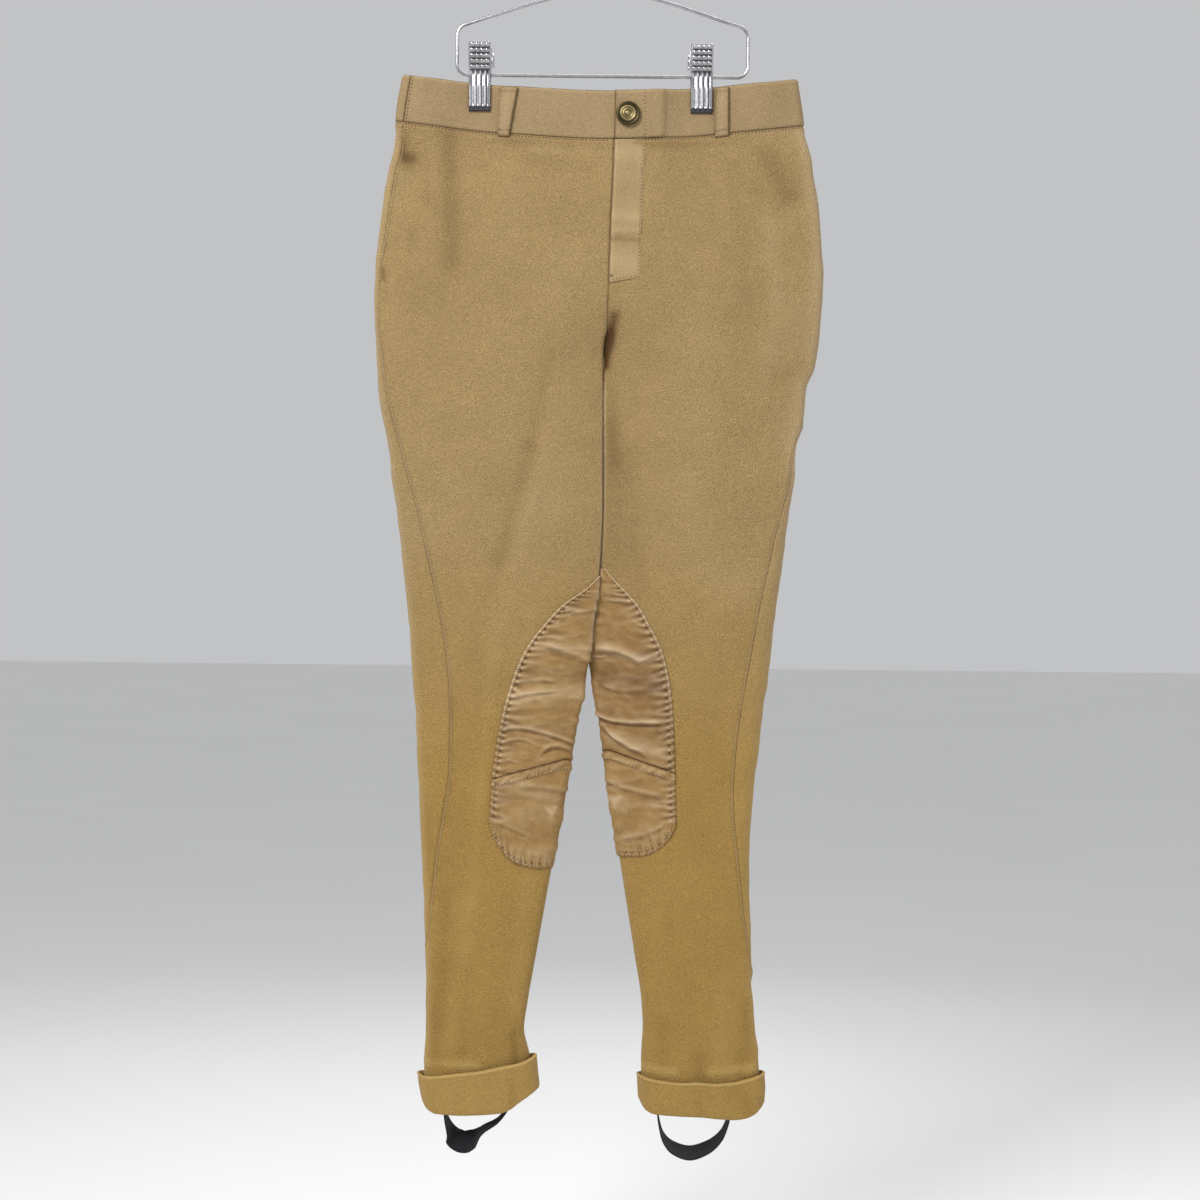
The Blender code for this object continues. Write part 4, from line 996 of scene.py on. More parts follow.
def finish(name):
    """A material by name, made the first time that it is asked for."""
    colours = bpy.context.scene.breeches_colours
    makers = {
        "knit": lambda: knit_cloth("brushed_knit", colours.knit, colours.knit_low, 1.0),
        "band": lambda: knit_cloth("waistband_knit", colours.band, colours.knit_low, 0.7),
        "placket": lambda: knit_cloth("placket_knit", colours.placket, colours.knit_low, 0.55),
        "patch": lambda: patch_cloth(colours.patch),
        "thread": lambda: speckled("tan_thread", colours.thread, 2200.0, 1.0, 0.8, 1.2, Roughness=0.75),
        "dark_thread": lambda: speckled("shaded_thread", colours.dark_thread, 2200.0, 1.0, 0.8, 1.2,
                                        Roughness=0.75),
        "elastic": lambda: speckled("black_elastic", colours.elastic, 1100.0, 2.0, 0.65, 1.5, (0.4, 0.0005),
                                    Roughness=0.75, Specular_IOR_Level=0.2, Sheen_Weight=0.08,
                                    Sheen_Roughness=0.5),
        "brass": lambda: patina_and_shade_metal("antique_brass", (colours.brass, (0.16, 0.125, 0.06, 1.0),
                                                      (0.035, 0.028, 0.014, 1.0), (0.62, 0.50, 0.24, 1.0)),
                                    700.0, (0.35, 0.7), (0.3, 0.5)),
        # On the chrome the groove colour is a painted shade and painted dark reflection; the white ridge
        # colour would be a painted highlight, but no chrome piece has light marks.
        "chrome": lambda: patina_and_shade_metal("clip_chrome", (colours.chrome, (0.42, 0.42, 0.44, 1.0),
                                                     (0.02, 0.018, 0.02, 1.0), (1.0, 1.0, 1.0, 1.0)),
                                     160.0, (0.3, 0.7), (0.18, 0.30)),
        "rubber": lambda: speckled("grip_rubber", colours.rubber, 900.0, 2.0, 0.7, 1.3, Roughness=0.6),
        "floor": lambda: speckled("pale_floor", colours.floor, 1.5, 2.0, 0.99, 1.01, Roughness=0.9),
    }
    if name not in FINISHES:
        FINISHES[name] = makers[name]()
    return FINISHES[name]


def face_name(back):
    return "back" if back else "front"


def both_panels(leg):
    return [f"front_{leg.side}", f"back_{leg.side}"]


def band_of(back, side):
    return "waistband_back" if back else f"waistband_front_{side}"


def patch_cover(leg, x, drop):
    """1 under a knee patch, 0 well away from it."""
    width = np.abs(leg.patch_edge(drop) - leg.inner(drop))
    inside = ease((width - np.abs(x - leg.inner(drop)) + 4.0) / 5.0)
    first, last = leg.patch_rows[0][0], PATCH_LEVELS[leg.side][3]
    return inside * ease((drop - first + 3.0) / 5.0) * (1.0 - ease((drop - last - 1.0) / 6.0))


def soft_relief(leg, back, x, drop, from_seam, from_fold):
    """Height, painted shade and painted light of a panel's soft folds, shared by its two skins."""
    lift = 0.34 * waves(x, drop, 11, 75.0) + 0.13 * waves(x, drop, 12, 24.0)
    # A faint broad uneven tone, then each fold's painted shade, or painted light where its darkening is
    # negative.
    shade = 0.02 * waves(x, drop, 13, 85.0)
    for *line, width, depth, darkening in SOFT_FOLDS[f"{face_name(back)}_{leg.side}"]:
        near = bump(from_segment(x, drop, *line), width)
        lift = lift - depth * near
        shade = shade + darkening * near
    open_ground = 1.0 - patch_cover(leg, x, drop)
    if not back:
        beside = ease((np.abs(x - leg.inner(drop)) - FLY_WIDTH - 1.0) / 5.0)
        below = ease((drop - FLY_DROP - 1.0) / 6.0)
        covered = 1.0 if leg.side == "right" else np.maximum(beside, below)
        open_ground = open_ground * covered
    lift = lift * open_ground * (0.15 + 0.85 * ease(from_fold / 14.0)) * ease(from_seam / 5.0)
    shade = shade * open_ground
    return lift, np.maximum(shade, 0.0), np.maximum(-shade, 0.0)


def hollow_press(leg, back, x, drop):
    """How far the left front is pressed in behind the right leg under the crotch, and its painted shade."""
    press, dark = np.zeros_like(x), np.zeros_like(x)
    if leg.side == "left" and not back:
        for *line, width, depth, darkening in HOLLOW:
            near = bump(from_segment(x, drop, *line), width)
            press = press + depth * near
            dark = dark + darkening * near ** 0.5 * bump(near - 1.0, 0.93) * 1.3
    return press, dark


def beside_right(leg, x, drop):
    """How much painted light goes on the fronts along the line where the right leg lies over the left one."""
    over = ease((drop - CROTCH_DROP - 10.0) / 20.0) * (1.0 - ease((drop - 480.0) / 24.0))
    away = x - LEGS["right"].inner(drop)
    return over * (0.4 * bump(away, 1.6) if leg.side == "right" else 0.65 * bump(away - 0.6, 1.9))


def lip_beside_right(leg, back, x, drop):
    """How far the left front stands forward just outside the right leg's fold."""
    away = x - LEGS["right"].inner(drop)
    along = ease((drop - CROTCH_DROP - 14.0) / 24.0) * (1.0 - ease((drop - 470.0) / 30.0))
    rise = LIP_RISE * along * ease((away + 0.6) / 2.6) * (1.0 - ease((away - 7.0) / 16.0))
    return rise * (leg.side == "left") * (1.0 - back)


def panel_places(leg, back, rows, middle):
    """Ring angles of a panel's grid, with the distances from its side seam and from its inner edge."""
    bases = np.linspace(PANEL_TOP, HEM_DROP, rows)
    seam = seam_angle(leg, bases)[:, None]
    low, high = (seam, 2.0 * math.pi) if back else (0.0, seam)
    angles = low + (high - low) * np.linspace(0.0, 1.0, 321)
    points = ring(leg, bases[:, None], angles)
    lengths = np.hypot(*np.moveaxis(np.diff(points, axis=1), -1, 0))
    run = np.concatenate((np.zeros((rows, 1)), np.cumsum(lengths, axis=1)), axis=1)
    total = run[:, -1:]
    near_seam = np.linspace(EDGE_GAP, 8.0, 13) + np.zeros((rows, 1))
    near_fold = total - np.linspace(15.0, EDGE_GAP, 17)
    between = 8.0 + (total - 23.0) * np.linspace(0.0, 1.0, middle - 8)[1:-1]
    from_seam = np.concatenate((near_seam, between, near_fold), axis=1)
    along = from_seam if back else total - from_seam
    angle = np.stack([np.interp(along[r], run[r], angles[r]) for r in range(rows)])
    return bases[:, None], angle, from_seam, total - from_seam


def make_panel(leg, back, sizes):
    """One front or back panel, from the waist seam to the hem and from the inner to the side seam."""
    bases, angle, from_seam, from_fold = panel_places(leg, back, sizes.panel_rows, sizes.panel_columns)
    to_waist = 1.0 - ease((bases - PANEL_TOP) / 70.0)
    to_hem = ease((bases - (HEM_DROP - 70.0)) / 70.0)
    drop = bases + to_waist * (on_line(leg, angle, waist_seam) - PANEL_TOP)
    drop = drop + to_hem * (hem_line(leg, angle) - HEM_DROP)
    x = ring(leg, drop, angle)[..., 0]
    lift, dark, light = soft_relief(leg, back, x, drop, from_seam, from_fold)
    from_waist = drop - waist_seam(x)
    uneven = 1.0 + 0.5 * waves(drop, 0.0, 21 + back, 17.0)
    raised = -0.6 * bump(from_seam, 0.9)
    if not back:
        raised = raised + 0.42 * uneven * bump(from_seam - 1.5, 1.0) - 0.34 * bump(from_seam - 2.7, 0.7)
        raised = raised + 0.16 * uneven * bump(from_seam - 4.4, 1.6)
        # A dark seam line, painted shade in the groove beside the raised lip and a painted highlight on the
        # lip; painted light along the right leg's fold.
        dark = dark + 0.5 * bump(from_seam, 0.9) + 0.10 * bump(from_seam - 2.4, 0.7)
        light = light + 0.10 * bump(from_seam - 1.5, 1.0) + beside_right(leg, x, drop)
    raised = raised + 1.1 * (1.0 - ease((from_waist - 1.0) / 9.0)) - 0.9 * bump(from_waist, 1.1)
    # A dark line at the waist seam and a broad painted shadow below the band.
    dark = dark + (0.05 + 0.06 * uneven) * bump(from_waist, 0.8)
    dark = dark + 0.05 * uneven * bump(from_waist - 4.0, 4.5)
    middle_seam = (1.0 - ease((drop - CROTCH_DROP + 24.0) / 14.0)) * (from_fold < 12.0)
    press, shade = hollow_press(leg, back, x, drop)
    press = press + 0.7 * middle_seam * bump(from_fold, 0.8) - lip_beside_right(leg, back, x, drop)
    # The hollow's painted shade and a dark line down the middle seam.
    dark = dark + shade + 0.55 * middle_seam * bump(from_fold, 0.9) * (not back or 0.6)
    below_hip = ease((drop - 310.0) / 60.0)
    hip = (1.0 - below_hip) * (leg.side == "left")
    # Painted rim light along the outer fold, wider on the left hip, painted light along the inner fold below
    # the crotch, and on the left back beside the side seam.
    rim = bump(x - leg.outer(drop), 4.0 + 5.0 * hip)
    light = light + (0.26 + 0.14 * hip) * rim * ease(from_waist / 6.0)
    light = light + 0.18 * bump(from_fold, 2.6) * ease((drop - CROTCH_DROP) / 20.0)
    if back and leg.side == "left":
        light = light + 0.22 * (1.0 - ease((from_seam - 22.0) / 14.0)) * (1.0 - 0.7 * below_hip)
    low, high = angle.min(axis=1, keepdims=True), angle.max(axis=1, keepdims=True)
    outer = skin(leg, drop, angle, lift + raised, low, high)
    inner = skin(leg, drop, angle, np.minimum(lift, 0.4) - sizes.cloth / MM, low, high)
    push((outer, inner), press if back else -press)
    marks = shades(dark, light, 0.95)
    obj = shell(f"{face_name(back)}_{leg.side}", "cloth", (outer, inner), "knit", marks, 3)
    width = float((from_seam + from_fold)[:, 0].max())
    cloth(obj, width, HEM_DROP - PANEL_TOP, "hung", [band_of(back, leg.side)], grid_area(outer[::4, ::4]))


def between_sides(half, close, inner, count):
    """Places from -half to half: some close to each side and even ones between -inner and inner."""
    near = half - np.array(close)
    return np.concatenate((-near, np.linspace(-inner, inner, count), near[::-1]))[None, :]


def edge_rounding(away, radius):
    """How far a rounded edge falls back at a distance from it."""
    return radius * (1.0 - np.sqrt(1.0 - (1.0 - np.clip(away / radius, 0.0, 1.0)) ** 2))


def from_end(x, angles, end):
    """Distances across from one end of a band, on the face that the end is on."""
    other_face = np.sin(angles) * np.sin(angles[end]) < 0.0
    return np.abs(x - x[:, end, None]) + np.where(other_face, 100.0, 0.0)


def band_piece(node, stations, seed, rests_on, over=False):
    """One piece of the waistband, through ring angles on one leg and then the other."""
    shares = np.concatenate(([0.0, 0.012, 0.03, 0.055], np.linspace(0.09, 0.91, 15),
                             [0.945, 0.97, 0.988, 1.0]))[:, None]
    parts = []
    for index, (leg, angles) in enumerate(stations):
        top = on_line(leg, angles, band_top)[None, :]
        bottom = on_line(leg, angles, waist_seam)[None, :] - SEAM_GAP
        drop = top + (bottom - top) * shares
        angle = np.broadcast_to(angles, drop.shape)
        x = ring(leg, drop, angle)[..., 0]
        low = np.clip((drop - bottom + TAB_CORNER) / TAB_CORNER, 0.0, 1.0)
        tab_end = OVERLAP_END - TAB_CORNER * (1.0 - np.sqrt(1.0 - low ** 2))
        lap = TAB_LAP * (1.0 - ease((x - tab_end) / OVERLAP_STEP)) * over
        away = np.minimum(drop - top, bottom - drop)
        if index == 0:
            away = np.minimum(away, from_end(x, angles, 0))
        if index == len(stations) - 1:
            away = np.minimum(away, from_end(x, angles, -1))
        rounding = edge_rounding(away, 1.9)
        swell = 0.35 * np.sin(math.pi * shares) + 0.22 * waves(x, drop * 0.25, seed, 30.0)
        swell = swell + 0.10 * waves(x, drop * 0.4, seed + 1, 11.0)
        swell = swell * (1.0 - 0.8 * pinch(x, drop))
        # Painted shade along the edges and in two soft patches across the front, over a faint uneven tone.
        dark = 0.08 * bump(away, 0.8) + 0.02 * waves(x, drop, seed + 2, 40.0)
        dark = dark + 0.08 * bump(x + 126.0, 22.0) + 0.09 * bump(x - 146.0, 14.0)
        if over:
            swell = swell + 0.4 * bump(x - tab_end + 2.2, 1.8) - 0.4 * bump(x - TAB_STITCH, 0.9)
            swell = swell + 0.3 * bump(x - TAB_STITCH - 3.0, 2.0)
            # Painted shadow beside the ridge of the tab beneath and along the overlapping left end, and a
            # dark line at the tab's stitching.
            dark = dark + 0.05 * bump(x - tab_end - 2.6, 1.6) + 0.15 * bump(x - TAB_STITCH, 0.8)
            dark = dark + 0.8 * bump(x - x[:, :1], 1.2)
        outer = skin(leg, drop, angle, BAND_PROUD + lap + swell - rounding)
        depth = lap - (3.0 - 1.5 * lap / TAB_LAP) + rounding * (1.0 - 0.6 * (lap > 1.0))
        inner = skin(leg, drop, angle, BAND_PROUD + depth)
        # A painted highlight along the top edge.
        parts.append((outer, inner, dark, 0.20 * bump(drop - top - 0.9, 1.4)))
    outer, inner, dark, light = (np.concatenate(part, axis=1) for part in zip(*parts))
    obj = shell(node, "cloth", (outer, inner), "band", shades(dark, light))
    cloth(obj, along_points(outer[10])[-1], 44.0, "hung", rests_on)


def band_angles(leg, low, high, spacing, first=True, last=True):
    """Ring angles evenly spaced along the band, with more close to its cut ends for their rounded edges."""
    angles = np.linspace(low, high, 900)
    points = ring(leg, BAND_LEVEL, angles)
    run = np.concatenate(([0.0], np.cumsum(np.hypot(*np.diff(points, axis=0).T))))
    count = max(2, round(run[-1] / spacing))
    even = list(np.interp(np.linspace(0.0, run[-1], count + 1), run, angles))
    close = np.array([0.15, 0.4, 0.7])
    if first:
        even[1:1] = list(even[0] + (even[1] - even[0]) * close)
    if last:
        even[-1:-1] = list(even[-1] + (even[-2] - even[-1]) * close[::-1])
    return np.array(even)


def make_waistband(sizes):
    """The band in three pieces, with the left end lying over the right."""
    right, left = LEGS["right"], LEGS["left"]
    right_seam, left_seam = (float(seam_angle(leg, BAND_LEVEL)) for leg in (right, left))
    back_end = 2.0 * math.pi - BAND_END
    under_end = float(angle_at(left, BAND_LEVEL, OVERLAP_END - 2.0))
    step_along = sizes.band_step / MM
    pads = {side: [f"clip_pad_front_{side}", f"clip_pad_back_{side}"] for side in LEGS}
    band_piece("waistband_front_right", [
        (right, band_angles(right, right_seam - SEAM_TURN, BAND_END, step_along, last=False)),
        (left, band_angles(left, 2.0 * BAND_END, under_end, step_along, first=False))], 31, pads["right"])
    band_piece("waistband_front_left", [
        (left, band_angles(left, BAND_END / 2.0, left_seam - SEAM_TURN, step_along))], 41, pads["left"], True)
    band_piece("waistband_back", [
        (left, band_angles(left, left_seam + SEAM_TURN, back_end, step_along, last=False)),
        (right, band_angles(right, back_end, right_seam + SEAM_TURN, step_along, first=False))],
        51, pads["right"] + pads["left"])


def make_placket():
    """The stitched strip beside the front opening, with its slanted lower end."""
    leg = LEGS["left"]
    shares = np.concatenate(([0.0, 0.008], np.linspace(0.02, 0.98, 96), [0.99, 1.0]))[:, None]
    parts = np.concatenate(([0.0, 0.012, 0.03, 0.055], np.linspace(0.09, 0.93, 26), [0.96, 0.985, 1.0]))
    top = waist_seam(9.0 + FLY_WIDTH * parts) + 0.4
    lower_edge = FLY_DROP - FLY_SLANT * parts
    drop = top + (lower_edge - top) * shares
    across = np.broadcast_to(FLY_WIDTH * parts, drop.shape)
    end, far_edge = lower_edge - drop, across - FLY_WIDTH
    lift = PLACKET_LIFT + 0.35 + 1.2 * (1.0 - ease(across / 22.0))
    lift = lift - 0.85 * edge_rounding(across, 2.4) - 0.35 * bump(far_edge + 1.3, 0.9)
    lift = lift - 0.3 * bump(far_edge, 0.7) - 0.5 * bump(end, 0.8) - 0.2 * bump(end - 2.4, 0.8)
    for wave_drop, slope, width, height in PLACKET_WAVES:
        lift = lift + height * bump(drop - wave_drop - slope * across, width)
    lift = lift + 0.18 * waves(across, drop, 61, 26.0)
    # Painted shade along the opening edge, dark lines at the stitched side and the slanted lower end, and a
    # painted highlight just inside the opening edge.
    dark = 0.5 * bump(across, 0.6) + 0.16 * bump(far_edge + 1.3, 0.6) + 0.3 * bump(end, 0.6)
    light = 0.10 * bump(across - 1.6, 1.2)
    for shade_drop, width, darkening in PLACKET_SHADES:
        near = bump(drop - shade_drop, width)
        dark, light = dark + max(darkening, 0.0) * near, light + max(-darkening, 0.0) * near
    angle = angle_at(leg, drop, leg.inner(drop) + 0.3 + across)
    skins = [skin(leg, drop, angle, up) for up in (lift, np.full(lift.shape, PLACKET_LIFT - 0.2))]
    obj = shell("fly_placket", "cloth", skins, "placket", shades(dark, light), 2)
    cloth(obj, FLY_WIDTH, FLY_DROP - 52.0, "laid", ["front_left"])


def make_belt_loop(name, side, top_x, bottom_x, top_width, bottom_width, back):
    """A belt loop that bows out a little between its sewn ends."""
    leg = LEGS[side]
    shares = np.concatenate(([0.0, 0.01, 0.025], np.linspace(0.045, 0.955, 40), [0.975, 0.99, 1.0]))[:, None]
    parts = between_sides(0.5, (0.0, 0.01, 0.04, 0.08), 0.36, 9)
    width = top_width + (bottom_width - top_width) * shares
    x = top_x + (bottom_x - top_x) * shares + width * parts
    top, bottom = band_top(x) + 1.0, waist_seam(x) + 2.4
    drop = top + (bottom - top) * shares
    angle = angle_at(leg, drop, x, back)
    bow = LOOP_BOW * np.sin(math.pi * np.clip(shares, 0.02, 0.98)) ** 0.6
    lift = BAND_PROUD + SEAM_GAP + 0.15 + bow
    away = np.minimum(width * (0.5 - np.abs(parts)), 40.0 * np.minimum(shares, 1.0 - shares))
    knobs = bump(shares - 0.94, 0.035) + 0.5 * bump(shares - 0.05, 0.03) - 0.3 * bump(shares - 0.88, 0.02)
    knobs = knobs + 0.12 * waves(x, drop, 71, 4.0) - 0.16 * bump(np.abs(parts) - 0.36, 0.05)
    outer = skin(leg, drop, angle, lift + 1.7 + knobs - edge_rounding(away, 0.95))
    inner = skin(leg, drop, angle, lift + edge_rounding(away, 0.6))
    bones = np.sin((drop + 1.4 * np.abs(np.mod(parts * width, 4.0) - 2.0)) * 2.0 * math.pi / 2.4)
    # Painted shade along the edges and in the grooves near the sewn ends, the faint herringbone of the weave,
    # and a painted highlight down the middle of the face.
    dark = 0.5 * bump(away, 0.8) + 0.5 * bump(shares - 0.885, 0.02) + 0.4 * bump(shares - 0.10, 0.015)
    dark = dark + 0.10 * np.clip(bones, 0.0, 1.0)
    obj = shell(name, "cloth", (outer, inner), "band", shades(dark, 0.14 * bump(parts, 0.3)))
    length = along_points(outer[:, 8])[-1]
    cloth(obj, (top_width + bottom_width) / 2.0, length, "stretched", [band_of(back, side)])


def make_button():
    """The waist button: a turned disc with plain rings, flat against the band's upper end."""
    low, high = (np.array(end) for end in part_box("waist_button"))
    centre = (low + high) / 2.0
    turns = np.linspace(0.0, 2.0 * math.pi, 81)[:-1]
    count = len(turns)
    points, dark, light = [], [], []
    for index, (radius, height) in enumerate(BUTTON_PROFILE):
        raised = min(max((height - 1.7) / 0.9, 0.0), 1.0)
        outside = radius > 6.6
        for turn in turns[:1] if index in (0, len(BUTTON_PROFILE) - 1) else turns:
            points.append(centre + np.array((radius * math.cos(turn), 0.0, radius * math.sin(turn))) * MM)
            points[-1][1] = high[1] - height * MM
            dark.append(min(0.85 * (1.0 - raised) + 0.45 * outside, 0.9))
            light.append(0.22 * raised * (not outside))
    last = len(points) - 1
    faces = [[0, 1 + (k + 1) % count, 1 + k] for k in range(count)]
    for start in range(1, last, count):
        for a, b in ((start + k, start + (k + 1) % count) for k in range(count)):
            faces.append([a, b, last] if start + count == last else [a, b, b + count, a + count])
    mesh = mesh_from("waist_button_metal", points, faces, {"dark": dark, "light": light}, 60.0)
    place_object(mesh.name, mesh, finish("brass"), ("waist_button",))


class PatchSheet:
    """Where the points of a leg's patches lie: ring angles for a share across and a drop."""

    def __init__(self, leg):
        self.leg = leg
        self.cross, self.rise, self.corner, self.bottom = PATCH_LEVELS[leg.side]
        self.first = leg.patch_rows[0][0]
        self.drops = np.arange(self.first - 2.0, self.bottom + 3.0, 1.0)
        edge = angle_at(leg, self.drops, leg.patch_edge(self.drops))[:, None]
        self.angles = np.maximum(edge, 0.05) * np.linspace(0.0, 1.0, 161)
        points = ring(leg, self.drops[:, None], self.angles)
        lengths = np.hypot(*np.moveaxis(np.diff(points, axis=1), -1, 0))
        self.run = np.concatenate((np.zeros((len(self.drops), 1)), np.cumsum(lengths, axis=1)), axis=1)

    def width(self, drop):
        """The cloth's width from the inner fold to the sewn edge."""
        return np.interp(drop, self.drops, self.run[:, -1])

    def angle(self, share, drop):
        """Ring angles; share runs from -1 at the back's sewn edge, through the fold, to 1."""
        share, drop = np.broadcast_arrays(share, drop)
        cell = np.clip((drop - self.drops[0]).astype(int), 0, len(self.drops) - 2)
        mix = drop - self.drops[0] - cell
        out = np.zeros(share.shape)
        for index in np.ndindex(share.shape):
            k = cell[index]
            size = abs(share[index])
            ends = [np.interp(size * self.run[j, -1], self.run[j], self.angles[j]) for j in (k, k + 1)]
            out[index] = ends[0] + (ends[1] - ends[0]) * mix[index]
        return np.where(share >= 0.0, out, 2.0 * math.pi - out)

    def upper(self, edge_drop, share):
        """Drops of the upper patch's rows."""
        weight = ((edge_drop - self.first) / (self.cross - self.first)) ** 2
        return edge_drop - weight * self.cross_rise(share)

    def cross_rise(self, share):
        """How far the cross seam rises above its ends; it sags again close to the inner fold."""
        return self.rise * (1.0 - np.abs(share)) - 5.0 * np.clip(1.0 - np.abs(share) / 0.16, 0.0, 1.0) ** 2

    def lower(self, edge_drop, share):
        """Drops of the lower patch's rows."""
        weight = (edge_drop - self.cross) / (self.corner - self.cross)
        from_cross = self.cross_rise(share) * (1.0 - weight)
        to_bottom = (self.bottom - self.corner) * (1.0 - np.abs(share) ** 4) ** 0.85
        return edge_drop - from_cross + weight * to_bottom


def crease_relief(rows, x, drop):
    """Height, painted shade and painted highlight of the placed creases of one face of a patch."""
    lift, dark, light = np.zeros_like(x), np.zeros_like(x), np.zeros_like(x)
    part = np.linspace(0.0, 1.0, 21)
    for x0, drop0, x1, drop1, x2, drop2, width, height, darkening in rows:
        line_x, line_d = (
            (1 - part) ** 2 * a + 2 * part * (1 - part) * (2 * b - (a + c) / 2.0) + part ** 2 * c
            for a, b, c in ((x0, x1, x2), (drop0, drop1, drop2)))
        order = np.argsort(line_x)
        away = drop - np.interp(x, line_x[order], line_d[order])
        reach = ease((x - line_x.min() + 3.0) / 7.0) * ease((line_x.max() + 3.0 - x) / 7.0)
        ridge, trough = bump(away, width), bump(away - 1.7 * width, 0.75 * width)
        sharp = bump(away - 1.5 * width, 0.5 * width)
        lift = lift + 2.0 * reach * height * (ridge - 0.7 * trough)
        dark = dark + 0.8 * reach * darkening * sharp
        light = light + reach * 0.42 * darkening * bump(away + 0.2 * width, 0.8 * width)
    return lift, dark, light


def pucker_relief(along, from_edge, last, seed):
    """Puckers along a sewn edge: beads between slanted furrows outside the stitches, folds running in, with
    painted shade in the furrows and painted highlights between them.
    """
    chance = np.random.default_rng(seed)
    lift, dark, light = (np.zeros_like(from_edge) for _ in range(3))
    outside = ease((from_edge + 1.6) / 1.8) * (1.0 - ease((from_edge - STITCH_IN - 1.4) / 1.8))
    place = PUCKER_FIRST
    while place < last:
        pace = PUCKER_STEP * chance.uniform(0.8, 1.25)
        deep, slant = chance.uniform(0.75, 1.15), chance.uniform(0.10, 0.55)
        away = along - place - slant * (from_edge - 2.0)
        lift = lift - 1.9 * deep * outside * bump(away, 1.35)
        dark = dark + 0.52 * deep * outside * bump(away, 1.0)
        light = light + 0.24 * outside * bump(away - 0.45 * pace, 1.3)
        length, tilt = chance.uniform(11.0, 24.0), chance.uniform(-0.2, 0.35)
        if chance.uniform() < 0.3:
            length *= 1.6
        away = along - place - 1.1 - tilt * (from_edge - STITCH_IN)
        fade = ease((from_edge - 2.6) / 1.6) * (1.0 - ease((from_edge - 0.35 * length) / (0.65 * length)))
        width = chance.uniform(1.3, 1.9) * (0.85 + 0.035 * from_edge)
        lift = lift - 2.1 * deep * fade * bump(away, width)
        dark = dark + 0.36 * deep * fade * bump(away, 0.8 * width)
        light = light + 0.20 * fade * bump(away - 0.5 * pace, 1.6)
        place += pace
    early = ease((along - 4.0) / 30.0) * (1.0 - ease((along - last) / 8.0))
    swell = ease((from_edge + 0.3) / 2.2) * (1.0 - ease((from_edge - 4.0) / 16.0))
    return early * (lift + 1.9 * swell), early * dark, early * light


